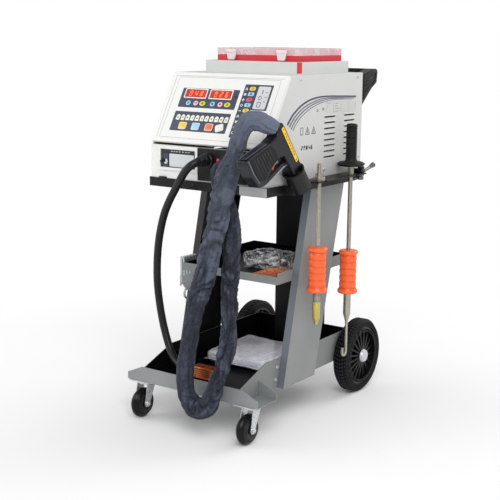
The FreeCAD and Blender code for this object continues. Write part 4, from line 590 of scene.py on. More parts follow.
def flat_piece(name, loops, depth, place, lift=0.0):
    """A thin piece cut from closed outlines in mm, raised from the plane it lies on."""
    data = bpy.data.curves.new(name, "CURVE")
    data.dimensions = "2D"
    data.fill_mode = "BOTH"
    data.extrude = depth / 2 * MM
    for loop in loops:
        line = data.splines.new("POLY")
        line.points.add(len(loop) - 1)
        for point, (across, along) in zip(line.points, loop):
            point.co = (across * MM, along * MM, 0, 1)
        line.use_cyclic_u = True
    take(new_object(name, data))
    bpy.ops.object.convert(target="MESH")
    item = bpy.context.active_object
    item.data.transform(Matrix.Translation((0, 0, (lift + depth / 2) * MM)))
    closed(item)
    return released(item, place)


def rounded_loop(x1, x2, y1, y2, radius, steps=4):
    """The outline of a rectangle with rounded corners."""
    points = []
    for centre_x, centre_y, start in ((x2 - radius, y2 - radius, 0),
                                      (x1 + radius, y2 - radius, 90),
                                      (x1 + radius, y1 + radius, 180),
                                      (x2 - radius, y1 + radius, 270)):
        for i in range(steps + 1):
            angle = math.radians(start + 90 * i / steps)
            points.append((centre_x + radius * math.cos(angle),
                           centre_y + radius * math.sin(angle)))
    return points


def ring_loop(x, y, radius_x, radius_y=None, steps=24):
    """The outline of a circle, or of an ellipse."""
    radius_y = radius_x if radius_y is None else radius_y
    return [(x + radius_x * math.cos(2 * math.pi * i / steps),
             y + radius_y * math.sin(2 * math.pi * i / steps)) for i in range(steps)]


def joined(name, items):
    """Several pieces made one."""
    take(items[0])
    for item in items[1:]:
        item.select_set(True)
    if len(items) > 1:
        bpy.ops.object.join()
    item = bpy.context.active_object
    item.name = name
    return item


def dressed(item, finish, body="frame", smooth=35):
    """Give a finished piece its material, its smooth faces and the body it rides on."""
    if finish is not None:
        item.data.materials.clear()
        item.data.materials.append(finish)
    take(item)
    if smooth:
        bpy.ops.object.shade_smooth_by_angle(angle=math.radians(smooth))
    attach(item, body)


def flat_trim(name, loops, depth, place, finish, lift=0.0):
    """A thin piece with its finish, fixed to the frame."""
    dressed(flat_piece(name, loops, depth, place, lift), finish, smooth=0)


def copied(pattern, place):
    """A copy of a small part, moved to its place."""
    copy = pattern.copy()
    copy.data = pattern.data.copy()
    bpy.context.scene.collection.objects.link(copy)
    copy.data.transform(place)
    return copy


def move_to(x, y, z):
    """The move that takes the origin to a place on the trolley."""
    return Matrix.Translation(at(x, y, z))


def turn_to(way):
    """The turn that points Z the given way."""
    return Vector(way).to_track_quat("Z", "Y").to_matrix().to_4x4()


def facing(x, y, z, way=(0, 0, 1)):
    """A place in mm whose own Z points the given way."""
    return move_to(x, y, z) @ turn_to(way)


def faced(origin, across, along):
    """A plane for flat pieces: its origin and its two directions."""
    across = Vector(across)
    along = Vector(along)
    turn = Matrix((across, along, across.cross(along))).transposed()
    return Matrix.Translation(origin) @ turn.to_4x4()


def upright(x, y, z=0):
    """A plane through a place in mm that faces the front."""
    return faced(at(x, y, z), (1, 0, 0), (0, 0, 1))


FRONT = upright(0, FRONT_Y)
RIGHT_SIDE = faced(at(SIDE_X, 0, 0), (0, 1, 0), (0, 0, 1))
LEFT_SIDE = faced(at(-SIDE_X, 0, 0), (0, -1, 0), (0, 0, 1))
SIDES = (("right", RIGHT_SIDE, 1), ("left", LEFT_SIDE, -1))


def mirrored(loops, way):
    """Outlines of the right side for 1, turned round for the left side for -1."""
    return [[(way * y, z) for y, z in loop] for loop in loops]


# Cords, along the lines of the source

GUN_X, GUN_Y, GUN_Z = 200, 52, 755.5
GUN_ANGLE = math.radians(51)


def gun_at(down, across, x=GUN_X):
    """A place on the gun in mm: down its barrel and across towards its grip."""
    return Vector((x, GUN_Y + down * math.cos(GUN_ANGLE) - across * math.sin(GUN_ANGLE),
                   GUN_Z - down * math.sin(GUN_ANGLE) - across * math.cos(GUN_ANGLE)))


def boot_line():
    """Where the gun's boot starts, bends and ends, with its way at each end, in mm."""
    tilt = math.radians(20)
    start = gun_at(19 * math.sin(tilt) - 5, 19 * math.cos(tilt) + 2)
    out = gun_at(-math.cos(tilt), math.sin(tilt)) - gun_at(0, 0)
    inwards = Vector((-1, 0, 0))
    half, whole = math.radians(25), math.radians(50)
    bend, end = (start + out * (24 * math.sin(turn)) + inwards * (24 * (1 - math.cos(turn)))
                 for turn in (half, whole))
    return start, out, bend, end, out * math.cos(whole) + inwards * math.sin(whole)


BOOT_START, BOOT_OUT, BOOT_BEND, BOOT_END, BOOT_WAY = boot_line()
GUN_SOCKET = Vector((68, 40, 648))
EARTH_SOCKET = Vector((6, 36, 656))
BLOCK_FACE = Vector((-2, 14, 148.3))
FORWARD = Vector((0, -1, 0))
GUN_CORD_ROUTE = [
    (163, 3, 761), (152, -6, 752), (148, -12, 738), (144, -14, 718), (126, -13, 686),
    (117, -18, 650), (108, -24, 608), (100, -28, 562), (92, -31, 516), (82, -34, 470),
    (70, -37, 424), (56, -39, 378), (41, -41, 330), (33, -43, 284), (24, -44, 238),
    (16, -45, 192), (12, -46, 150), (15, -46, 116), (25, -47, 93), (43, -48, 79),
    (64, -48, 80), (84, -48, 96), (97, -47, 120), (106, -44, 152), (120, -39, 194),
    (127, -31, 238), (122, -20, 286), (115, -10, 334), (110, -2, 384), (109, 3, 432),
    (109, 5, 478), (108, 4, 522), (104, 0, 556), (97, -4, 584), (84, -8, 612.4),
    (76, -4, 629), (70, 7, 641.4)]
EARTH_CORD_ROUTE = [
    (-2, 0, 650), (-16, -5, 637), (-34, -1, 616), (-57, 7, 588), (-83, 15, 556),
    (-106, 23, 520), (-124, 31, 480), (-137, 37, 436), (-145, 42, 388), (-148, 46, 338),
    (-145, 50, 290), (-137, 51, 246), (-124, 49, 208), (-108, 44, 178), (-89, 37, 158),
    (-67, 29, 147), (-45, 20, 144)]
GUN_ROUTE = [BOOT_START + BOOT_OUT * 2, BOOT_BEND, BOOT_END,
             BOOT_END + BOOT_WAY * 17 + Vector((0, 0, 3))] \
    + [Vector(point) for point in GUN_CORD_ROUTE] + [GUN_SOCKET + FORWARD * 17, GUN_SOCKET]
EARTH_ROUTE = [EARTH_SOCKET, EARTH_SOCKET + FORWARD * 20] \
    + [Vector(point) for point in EARTH_CORD_ROUTE] + [BLOCK_FACE - Vector((20, 0, 0)),
                                                       BLOCK_FACE]


def cord_curve(name, route, thickness, resolution=6):
    """One open smooth line through the route, round if it has a thickness."""
    data = bpy.data.curves.new(name, "CURVE")
    data.dimensions = "3D"
    data.resolution_u = resolution
    data.bevel_depth = thickness / 2
    data.bevel_resolution = 6
    data.use_fill_caps = True
    line = data.splines.new("NURBS")
    line.points.add(len(route) - 1)
    for point, (x, y, z) in zip(line.points, route):
        point.co = (*at(x, y, z), 1)
    line.order_u = 3
    line.use_endpoint_u = True
    return new_object(name, data)


def line_of(route):
    """The points of the route's smooth line."""
    bare = cord_curve("bare_line", route, 0, 8)
    mesh = bpy.data.meshes.new_from_object(bare)
    points = [vertex.co.copy() for vertex in mesh.vertices]
    bpy.data.meshes.remove(mesh)
    bpy.data.objects.remove(bare)
    return points


def evenly(points, step):
    """The same line again with points about a step apart."""
    lengths = [0.0]
    for first, second in zip(points, points[1:]):
        lengths.append(lengths[-1] + (second - first).length)
    count = max(2, round(lengths[-1] / step))
    spaced = []
    index = 0
    for i in range(count + 1):
        target = lengths[-1] * i / count
        while index < len(points) - 2 and lengths[index + 1] < target:
            index += 1
        span = lengths[index + 1] - lengths[index]
        share = 0 if span == 0 else (target - lengths[index]) / span
        spaced.append(points[index].lerp(points[index + 1], share))
    return spaced, lengths[-1]


def denim_finish():
    """Indigo twill: diagonal weave, fading, fold crests and the upper run painted lighter as
    highlight, creases and the low loop painted dark as shade, a stitched seam.
    """
    material, tree, shader = new_material("denim")
    uv = node(tree, "UVMap", uv_map="cloth").outputs[0]
    u, v, _ = split(tree, uv)
    twill = calc(tree, "SINE", calc(tree, "MULTIPLY", calc(tree, "ADD", u, v), 3600.0))
    cross = calc(tree, "SINE", calc(tree, "MULTIPLY", calc(tree, "SUBTRACT", u, v), 2100.0))
    weave = calc(tree, "ADD", calc(tree, "MULTIPLY", twill, 0.65),
                 calc(tree, "MULTIPLY", cross, 0.35))
    spread = node(tree, "CombineXYZ", {0: calc(tree, "MULTIPLY", u, 60.0),
                                       1: calc(tree, "MULTIPLY", v, 420.0)}).outputs[0]
    slub = cloudy(tree, spread, 1.0, 5.0, 0.7)
    place = object_place(tree)
    faded = cloudy(tree, place, 30.0, 8.0, 0.72)
    fleck = cloudy(tree, place, 310.0, 3.0, 0.8)
    crest = crest_of(tree)
    base = mixed(tree, between(tree, slub, 0.35, 0.65), rgb(34, 37, 46), rgb(49, 53, 65))
    for value, none, full, share, tone in (
            (faded, 0.46, 0.62, 0.25, rgb(66, 72, 88)),
            # Painted highlight on the fold crests, painted shade in the creases.
            (crest, 0.54, 0.82, 0.62, rgb(88, 96, 114)),
            (crest, 0.4, 0.2, 0.62, rgb(10, 12, 18)),
            # Painted highlight on the upper run and the arch near the gun; painted shade on the
            # low loop in the tray.
            (u, 0.52, 0.3, 0.16, rgb(122, 130, 148)),
            (u, 0.66, 0.9, 0.3, rgb(22, 24, 31)),
            (u, 0.16, 0.03, 0.56, rgb(122, 130, 148)),
            (fleck, 0.52, 0.66, 0.2, rgb(106, 112, 128)),
            (fleck, 0.46, 0.34, 0.2, rgb(16, 18, 26))):
        base = mixed(tree, between(tree, value, none, full, 0.0, share), base, tone)
    seam = inside(tree, v, 0.0015, 0.0105)
    stitch_rows = calc(tree, "ADD", inside(tree, v, 0.0026, 0.0036),
                       inside(tree, v, 0.0084, 0.0094))
    gaps = calc(tree, "GREATER_THAN",
                calc(tree, "FRACT", calc(tree, "MULTIPLY", u, 300.0)), 0.3)
    stitch = calc(tree, "MULTIPLY", stitch_rows, gaps, clamp=True)
    base = mixed(tree, calc(tree, "MULTIPLY", seam, 0.35), base, rgb(84, 92, 112))
    base = mixed(tree, stitch, base, rgb(140, 140, 150))
    height = calc(tree, "ADD", calc(tree, "MULTIPLY", weave, 0.5),
                  calc(tree, "ADD", calc(tree, "MULTIPLY", seam, 1.5), stitch))
    height = calc(tree, "ADD", height, calc(tree, "MULTIPLY", fleck, 1.2))
    wire(tree, shader, {"Base Color": base, "Roughness": 0.88,
                        "Normal": bumped(tree, 0.55, 0.0005, height),
                        "Specular IOR Level": 0.25,
                        "Sheen Weight": 0.04, "Sheen Roughness": 0.5})
    return material


SLEEVE_THICKNESS = 0.042
SLEEVE_RADII = [
    (0.0, 17.8), (0.012, 19.5), (0.03, 20.5), (0.05, 19.5), (0.076, 17.8), (0.101, 18),
    (0.118, 22.5), (0.132, 25.6), (0.158, 25.6), (0.191, 24.6), (0.224, 24.2),
    (0.29, 24.8), (0.324, 25.2), (0.345, 23.5), (0.362, 19), (0.392, 18.3), (0.424, 19),
    (0.457, 20), (0.51, 20.5), (0.53, 22.5), (0.55, 24), (0.575, 23), (0.60, 19.5),
    (0.625, 18.5), (0.64, 16.3), (0.655, 18.5), (0.668, 20), (0.684, 18.5), (0.717, 17),
    (0.74, 20), (0.748, 20.5), (0.762, 18.2), (0.80, 19), (0.853, 20), (0.908, 19.5),
    (0.95, 18.5), (0.976, 17.5), (1.0, 16.5)]
SLEEVE_FOLDS = [
    (0.0, 0.35), (0.05, 0.7), (0.10, 0.8), (0.14, 1.0), (0.33, 1.0), (0.38, 0.4),
    (0.50, 0.35), (0.54, 0.8), (0.60, 0.9), (0.66, 1.0), (0.72, 0.7), (0.76, 1.0),
    (0.82, 0.8), (0.95, 0.6), (1.0, 0.4)]
SLEEVE_TIE = 0.64
SLEEVE_REACH = 28.4
RING_STEP = 0.0021
RING_SIDES = 72
NEXT_RINGS = 14
APART_RINGS = 75
TOUCH_DISTANCE = 0.056
TOUCH_GAP = 0.0006


def eased(rows, share):
    """A value read from rows of (share of the length, value), eased between them."""
    for (first, low), (last, high) in zip(rows, rows[1:]):
        if share <= last:
            part = (share - first) / (last - first)
            part = part * part * (3 - 2 * part)
            return low + (high - low) * part
    return rows[-1][1]


def puff(x, y, z):
    """Soft puffs of slack cloth with sharp creases between them, from 0 to 1."""
    return min(1.0, abs(noise.noise(Vector((x, y, z)))) * 2.4) ** 0.72


def make_sleeve():
    """The denim sleeve on the gun's cable, with folds, a tied place and flat contacts."""
    centres, length = evenly(line_of(GUN_ROUTE), RING_STEP)
    rings = len(centres)
    sides = RING_SIDES
    tangents = []
    bends = []
    for i in range(rings):
        ahead = centres[min(i + 1, rings - 1)] - centres[max(i - 1, 0)]
        tangents.append(ahead.normalized())
        first = centres[max(i - NEXT_RINGS, 0)]
        last = centres[min(i + NEXT_RINGS, rings - 1)]
        bends.append((first + last) / 2 - centres[i])
    side = tangents[0].cross(Vector((0, 0, 1))).normalized()
    points = []
    crests = []
    for i in range(rings):
        share = i / (rings - 1)
        along = share * length
        side = (side - tangents[i] * side.dot(tangents[i])).normalized()
        over = tangents[i].cross(side)
        radius = eased(SLEEVE_RADII, share)
        slack = eased(SLEEVE_FOLDS, share)
        bend = bends[i]
        strength = min(1.0, bend.length / 0.004)
        gather = math.exp(-((share - SLEEVE_TIE) / 0.02) ** 2) \
            + 0.7 * math.exp(-(share / 0.014) ** 2) \
            + 0.7 * math.exp(-((1 - share) / 0.014) ** 2)
        for k in range(sides):
            angle = 2 * math.pi * k / sides
            way = side * math.cos(angle) + over * math.sin(angle)
            inner = max(0.0, way.dot(bend.normalized())) if bend.length > 1e-6 else 0.0
            cos_a, sin_a = math.cos(angle), math.sin(angle)
            warp = noise.noise(Vector((cos_a * 0.8, sin_a * 0.8, along * 15)))
            slow = noise.noise(Vector((cos_a * 0.9 + 5, sin_a * 0.9, along * 9)))
            big = puff(cos_a * 0.75 + warp * 0.7 + 3, sin_a * 0.75, along * 27 + warp * 1.6)
            small = puff(cos_a * 1.2 + 11, sin_a * 1.2 + warp, along * 62 - warp * 2)
            drawn = puff(cos_a * 1.9 + 23, sin_a * 1.9, along * 6 + warp)
            fine = noise.noise(Vector((cos_a * 3.4 + 31, sin_a * 3.4, along * 150)))
            pleat = math.sin(angle * 11 + 3 * math.sin(along * 90)) * gather
            squeeze = puff(cos_a * 0.5 + 41, sin_a * 0.5, along * 70 + warp) * inner * strength
            height = slack * (6.6 * (big - 0.62) + 2.4 * (small - 0.6)) \
                + 2.2 * (drawn - 0.6) + 0.3 * fine + 1.3 * pleat + 2.2 * squeeze * slack
            reach = min(radius + 1.4 * slow + height, SLEEVE_REACH)
            points.append((i, centres[i], way, reach))
            crests.append(0.5 + slack * (0.6 * (big - 0.62) + 0.3 * (small - 0.6))
                          + 0.3 * (drawn - 0.6) + 0.12 * pleat)
    flattened = flatten_contacts(points, centres)
    faces = []
    for i in range(rings - 1):
        for k in range(sides):
            following = (k + 1) % sides
            faces.append((i * sides + k, i * sides + following,
                          (i + 1) * sides + following, (i + 1) * sides + k))
    faces.append(tuple(reversed(range(sides))))
    faces.append(tuple((rings - 1) * sides + k for k in range(sides)))
    mesh = bpy.data.meshes.new("gun_sleeve")
    mesh.from_pydata(flattened, [], faces)
    item = new_object("gun_sleeve", mesh)
    layer = mesh.uv_layers.new(name="cloth")
    wide = math.pi * SLEEVE_THICKNESS
    for polygon in mesh.polygons:
        for loop_index, vertex_index in zip(polygon.loop_indices, polygon.vertices):
            ring, k = divmod(vertex_index, sides)
            turn = k / sides
            if polygon.index % sides == sides - 1 and k == 0:
                turn = 1.0
            layer.data[loop_index].uv = (ring / (rings - 1) * length, turn * wide)
    keep_crests(mesh, crests)
    mesh.validate()
    dressed(item, denim_finish(), "frame", smooth=80)
    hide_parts("gun_cable")


def flatten_contacts(points, centres):
    """Where two runs of the sleeve meet, each is pressed flat, the rear one more."""
    count = len(centres)
    partner = {}
    for i in range(count):
        best = None
        for j in range(0, count, 3):
            if abs(i - j) < APART_RINGS:
                continue
            distance = (centres[i] - centres[j]).length
            if distance < TOUCH_DISTANCE and (best is None or distance < best[0]):
                best = (distance, j)
        if best is not None:
            partner[i] = best[1]
    placed = []
    for i, centre, way, radius in points:
        place = centre + way * radius * MM
        if i in partner:
            towards = centres[partner[i]] - centre
            reach = towards.length * (0.6 if i < count / 2 else 0.4) - TOUCH_GAP
            towards.normalize()
            beyond = (place - centre).dot(towards) - reach
            if beyond > 0:
                place -= towards * beyond
        placed.append(place)
    return placed


def make_earth_cable():
    """The black cable from its socket to the copper block, with its ribbed relief."""
    item = cord_curve("earth_cord", EARTH_ROUTE, 0.019, 5)
    item.data.materials.append(cable_rubber)
    take(item)
    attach(item, "frame")
    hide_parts("earth_cable")
    relief = turned_piece("earth_relief", [
        (13.4, 0), (14.2, 1.5), (14.2, 6), (13.2, 7), (12.9, 9), (13.4, 10), (13.0, 13),
        (12.2, 14), (12.5, 15), (11.9, 18), (11.1, 19), (11.3, 20), (10.6, 23), (9.6, 24)],
        move_to(*EARTH_SOCKET) @ Matrix.Rotation(math.radians(90), 4, "X"))
    dressed(relief, black_plastic, "frame")


make_sleeve()
make_earth_cable()

# Printed and moulded parts of the panels

PANEL = move_to(0, FRONT_Y, 692) @ Matrix.Rotation(math.radians(60), 4, "X")
SHEET_LEVEL = -1.0
PRINT = 0.25
WINDOW_LEFTS = (-113, -38)


def key_finish(name, colour, **options):
    """The glossy skin of a soft key."""
    return hard_finish(name, colour, 0.24, coat=0.5, grain_depth=0.03, **options)


def print_finish(name, colour, roughness, **options):
    """A thin print with hardly any grain."""
    return hard_finish(name, colour, roughness, grain_depth=0.04, **options)


printed_navy = print_finish("printed_navy", rgb(58, 64, 82), 0.3, grain_scale=1600.0,
                            cloud_share=0.1)
printed_ink = print_finish("printed_ink", rgb(34, 36, 44), 0.34, grain_scale=1600.0)
printed_line = print_finish("printed_line", rgb(176, 180, 182), 0.4)
printed_faint = print_finish("printed_faint", rgb(150, 152, 158), 0.4)
printed_white = print_finish("printed_white", rgb(236, 238, 236), 0.32, cloud_share=0.03)
printed_pale = print_finish("printed_pale", rgb(206, 208, 210), 0.36)
key_cream = key_finish("key_cream", rgb(232, 230, 214), cloud_share=0.1, cloud_scale=60.0)
key_sky = key_finish("key_sky", rgb(150, 205, 238))
key_sun = key_finish("key_sun", rgb(250, 196, 26))
key_rose = key_finish("key_rose", rgb(226, 70, 92))
key_pink = key_finish("key_pink", rgb(240, 178, 206))
key_lime = key_finish("key_lime", rgb(206, 206, 50))
key_orange = key_finish("key_orange", rgb(238, 108, 54))


def panel_print(name, loops, finish, level=0, thickness=PRINT):
    """A printed field on the slanted panel, laid on the ones under it."""
    flat_trim(name, loops, thickness, PANEL, finish, SHEET_LEVEL + level * PRINT)


def raised_key(x, y, loop, rise):
    """A soft domed key: its outline raised, then narrowed towards its top."""
    item = flat_piece("key", [loop], rise * 0.6, None, SHEET_LEVEL + PRINT)
    take(item)
    bpy.ops.object.mode_set(mode="EDIT")
    bpy.ops.mesh.select_all(action="DESELECT")
    bpy.ops.object.mode_set(mode="OBJECT")
    top = max(vertex.co.z for vertex in item.data.vertices)
    for polygon in item.data.polygons:
        polygon.select = all(item.data.vertices[v].co.z > top - 1e-6
                             for v in polygon.vertices)
    bpy.ops.object.mode_set(mode="EDIT")
    for share, lift in ((0.9, 0.25), (0.72, 0.15)):
        bpy.ops.mesh.extrude_region_move(
            TRANSFORM_OT_translate={"value": (0, 0, rise * lift * MM)})
        bpy.ops.transform.resize(value=(share, share, 1),
                                 center_override=(x * MM, y * MM, 0))
    bpy.ops.object.mode_set(mode="OBJECT")
    return released(item, PANEL)


def make_panel_fields():
    """The outline, the printed fields and the window frames of the slanted panel."""
    panel_print("panel_outline", [rounded_loop(-150, 150, 12, 176, 3),
                                  rounded_loop(-149.2, 149.2, 12.8, 175.2, 2.6)],
                printed_line)
    panel_print("display_field", [rounded_loop(-126, 44, 94, 146, 2)], printed_navy)
    panel_print("button_field", [rounded_loop(-127, 40, 31, 83, 2)], printed_navy)
    panel_print("key_field", [[(54, 23), (90, 23), (90, 96), (134, 96), (134, 162),
                               (54, 162)]], printed_navy)
    panel_print("chart_field", [rounded_loop(94, 129, 99, 158, 3)], printed_pale, 1)
    panel_print("chart_marks", [
        rounded_loop(108, 110, 138, 149, 0.6), ring_loop(106, 128, 5), ring_loop(106, 128, 3.8),
        rounded_loop(103, 113, 104, 118, 1.5), rounded_loop(104.2, 111.8, 105.2, 116.8, 1),
        rounded_loop(118, 124, 142, 143.2, 0.4), rounded_loop(118, 124, 130, 131.2, 0.4),
        rounded_loop(118, 124, 118, 119.2, 0.4)], printed_ink, 2)
    frames = []
    for x in WINDOW_LEFTS:
        frames += [rounded_loop(x - 2.6, x + 64.6, 118.6, 144.4, 1.6),
                   rounded_loop(x - 0.4, x + 62.4, 120.8, 142.2, 0.6)]
    panel_print("window_frames", frames, printed_white, 1, 1.5)


def make_displays():
    """Red windows in front of the digits, with lit bars behind the tint."""
    material, tree, shader = new_material("display_glass")
    grain = cloudy(tree, object_place(tree), 90.0, 3.0)
    tint = mixed(tree, between(tree, grain, 0.35, 0.65), rgb(172, 34, 18),
                 rgb(200, 50, 26))
    wire(tree, shader, {"Base Color": tint, "Roughness": 0.16, "Emission Color": tint,
                        "Emission Strength": 0.12, "Coat Weight": 0.6})
    lit, lit_tree, lit_shader = new_material("display_bars")
    glow = cloudy(lit_tree, object_place(lit_tree), 300.0)
    shade = mixed(lit_tree, glow, rgb(250, 108, 62), rgb(255, 140, 92))
    wire(lit_tree, lit_shader, {"Base Color": shade, "Roughness": 0.3,
                                "Emission Color": shade, "Emission Strength": 0.35})
    glass = []
    bars = []
    for left, figures in zip(WINDOW_LEFTS, ("048", "026")):
        glass.append(flat_piece("glass", [rounded_loop(left, left + 62, 121, 142, 0.6)], 0.4,
                                PANEL, 0.6))
        for i, figure in enumerate(figures):
            bars += digit_bars(left + 12 + i * 16, 124.5, figure)
    dressed(joined("display_windows", glass), material, "frame", smooth=0)
    flat_trim("display_digits", bars, 0.12, PANEL, lit, 1.0)


SEGMENTS = {"0": "abcdef", "2": "abged", "4": "fgbc", "6": "afgedc", "8": "abcdefg"}


def digit_bars(x, y, figure):
    """The lit bars of one figure, 8 mm wide and 14 mm high, leaning a little."""
    bar = 1.5
    spans = {"a": (1, 7, 12.5, 14), "g": (1, 7, 6.25, 7.75), "d": (1, 7, 0, 1.5),
             "f": (0, bar, 7.4, 13.4), "b": (8 - bar, 8, 7.4, 13.4),
             "e": (0, bar, 0.6, 6.6), "c": (8 - bar, 8, 0.6, 6.6)}
    loops = []
    for part in SEGMENTS[figure]:
        x1, x2, y1, y2 = spans[part]
        loops.append([(x + px + py * 0.1, y + py)
                      for px, py in ((x1, y1), (x2, y1), (x2, y2), (x1, y2))])
    return loops


def arch_loop(x, y, width, height):
    """A tab with a round top."""
    half = width / 2
    low = y - height / 2
    crown = y + height / 2 - half
    return [(x - half, low), (x + half, low)] \
        + [(x + half * math.cos(math.pi * i / 8), crown + half * math.sin(math.pi * i / 8))
           for i in range(9)]


def turned_loop(loop, x, y, degrees):
    """An outline turned about a point."""
    angle = math.radians(degrees)
    cos_a, sin_a = math.cos(angle), math.sin(angle)
    return [(x + (px - x) * cos_a - (py - y) * sin_a,
             y + (px - x) * sin_a + (py - y) * cos_a) for px, py in loop]


SIGN_OUTLINES = {
    1: [(-1, -0.2), (0.2, -0.2), (0.2, -0.7), (1, 0), (0.2, 0.7), (0.2, 0.2), (-1, 0.2)],
    2: [(-1, -0.9), (-0.5, -0.9), (0, 0.2), (0.5, -0.9), (1, -0.9), (0.2, 1), (-0.2, 1)]}
SIGN_BARS = {
    3: [(-1, 1, 0.35, 0.75), (-1, 1, -0.2, 0.2), (-1, 1, -0.75, -0.35)],
    4: [(-0.25, 0.25, -1, 1), (-1, -0.35, -0.3, 0.3), (0.35, 1, -0.3, 0.3)]}


def pictogram(x, y, kind, size):
    """A small drawn sign: a ring, an arrow, a fork or three bars."""
    if kind == 0:
        return [ring_loop(x, y, size, steps=14), ring_loop(x, y, size * 0.62, steps=14)]
    if kind in SIGN_OUTLINES:
        return [[(x + size * px, y + size * py) for px, py in SIGN_OUTLINES[kind]]]
    return [rounded_loop(x + size * x1, x + size * x2, y + size * y1, y + size * y2, 0.1, 1)
            for x1, x2, y1, y2 in SIGN_BARS[kind]]


def make_keys():
    """Every key and every sign on the panel, one piece for each colour."""
    by_finish = {}
    marks = []
    low_marks = []

    def add(finish, x, y, loop, rise=0.9):
        by_finish.setdefault(finish.name, (finish, []))[1].append(
            raised_key(x, y, loop, rise))

    round_y, arch_y, square_y, column_x = 106, 67, 45, 78
    round_keys = ((-97, key_sky), (-74, key_pink), (-54, key_lime), (-24, key_sky),
                  (-1, key_pink), (20, key_lime))
    for i, (x, finish) in enumerate(round_keys):
        wide = 9 if finish is key_lime else 7
        add(finish, x, round_y, ring_loop(x, round_y, wide, 6.4, 20), 0.7)
        marks += pictogram(x, round_y, i % 5, 3.0)
    marks += pictogram(37, 128, 1, 4.5)
    for i in range(11):
        x = -112 + i * 14.4
        loop = turned_loop(arch_loop(x, arch_y, 11, 15), x, arch_y, -8 + i % 3 * 4)
        add(key_cream, x, arch_y, loop)
        marks += pictogram(x, arch_y - 1, (i * 2) % 5, 2.4)
    squares = ((-91, key_sun, 0, 0), (-52, key_sky, 0, 3), (-12, key_orange, 0, 2),
               (19, key_cream, 18, 4))
    for x, finish, lean, kind in squares:
        loop, rim = (turned_loop(rounded_loop(x - half, x + half, square_y - half + 2,
                                              square_y + half - 2, radius),
                                 x, square_y, lean)
                     for half, radius in ((10, 3), (11.4, 3.6)))
        low_marks.append(rim)
        add(finish, x, square_y, loop, 1.2)
        marks += pictogram(x, square_y, kind, 4.2)
    column = (key_sun, key_sky, key_rose, key_sky, key_sun, key_rose, key_sky, key_sun,
              key_rose)
    for i, finish in enumerate(column):
        y = 151 - i * 14.3
        loop = rounded_loop(column_x - 8.5, column_x + 8.5, y - 5, y + 5, 3 if i % 2 else 4.6)
        add(finish, column_x, y, loop)
        marks += pictogram(column_x, y, (i * 3) % 5, 2.8)
        low_marks += pictogram(column_x - 17, y - 1, (i + 2) % 5, 3.6)
    for finish_name, (finish, items) in by_finish.items():
        dressed(joined("keys_" + finish_name[4:], items), finish, smooth=50)
    panel_print("key_rims", low_marks, printed_white, 1)
    flat_trim("key_signs", marks, 0.12, PANEL, printed_ink, SHEET_LEVEL + 1.15)


make_panel_fields()
make_displays()
make_keys()

# Front, sides and top of the housing


def spun_piece(name, loop, place=None, steps=40):
    """A ring swept round Z from a closed outline of (radius, height) in mm."""
    bpy.ops.object.select_all(action="DESELECT")
    bpy.ops.mesh.primitive_circle_add(vertices=len(loop), radius=0.01, location=(0, 0, 0))
    item = bpy.context.active_object
    item.name = name
    for vertex, (radius, height) in zip(item.data.vertices, loop):
        vertex.co = (radius * MM, 0, height * MM)
    edit_all()
    bpy.ops.mesh.spin(steps=steps, angle=2 * math.pi, center=(0, 0, 0), axis=(0, 0, 1))
    bpy.ops.object.mode_set(mode="OBJECT")
    closed(item)
    return released(item, place)


def curved(points, steps=6):
    """Points of a smooth line through the given ones."""
    line = []
    for i in range(len(points) - 1):
        before = points[max(i - 1, 0)]
        first, second = points[i], points[i + 1]
        after = points[min(i + 2, len(points) - 1)]
        for k in range(steps):
            t = k / steps
            line.append(tuple(
                0.5 * (2 * b + (c - a) * t + (2 * a - 5 * b + 4 * c - d) * t * t
                       + (3 * b - a - 3 * c + d) * t ** 3)
                for a, b, c, d in zip(before, first, second, after)))
    line.append(points[-1])
    return line


def ribbon(points, start_width, end_width):
    """The outline of a smooth band that narrows along its line."""
    line = curved(points)
    upper = []
    lower = []
    for i, (x, y) in enumerate(line):
        ahead = line[min(i + 1, len(line) - 1)]
        behind = line[max(i - 1, 0)]
        way_x, way_y = ahead[0] - behind[0], ahead[1] - behind[1]
        size = math.hypot(way_x, way_y) or 1
        half = (start_width + (end_width - start_width) * i / (len(line) - 1)) / 2
        upper.append((x - way_y / size * half, y + way_x / size * half))
        lower.append((x + way_y / size * half, y - way_x / size * half))
    return upper + lower[::-1]


band_dark = print_finish("printed_band_dark", rgb(60, 62, 88), 0.35)
band_mid = print_finish("printed_band_mid", rgb(86, 86, 114), 0.35)
STRIPES = (
    ([(139, 742), (152, 755), (167, 767), (201, 785), (245, 797), (301, 801.5),
      (378, 799.5), (459, 796.4)], 6.4, 2.6, band_dark),
    ([(147.5, 736.5), (161.5, 751), (184, 766.5), (216, 781), (262, 792), (318, 797.6),
      (459, 794)], 4.4, 1.7, band_mid),
    ([(155, 731), (171, 748), (198, 765.5), (233, 779.6), (278, 789.8), (335, 794.8),
      (450, 791.6)], 3.8, 1.4, band_dark),
    ([(163, 727), (180, 745), (208, 762.5), (244, 776.4), (289, 786.8), (346, 791.8),
      (438, 789.4)], 2.8, 1.0, band_mid))


def make_stripes():
    """Four curved bands printed on each side."""
    for side, plane, way in SIDES:
        for i, (points, start, end, finish) in enumerate(STRIPES):
            flat_trim("stripe_%s_%d" % (side, i),
                      mirrored([ribbon(points, start, end)], way), 0.2, plane, finish)


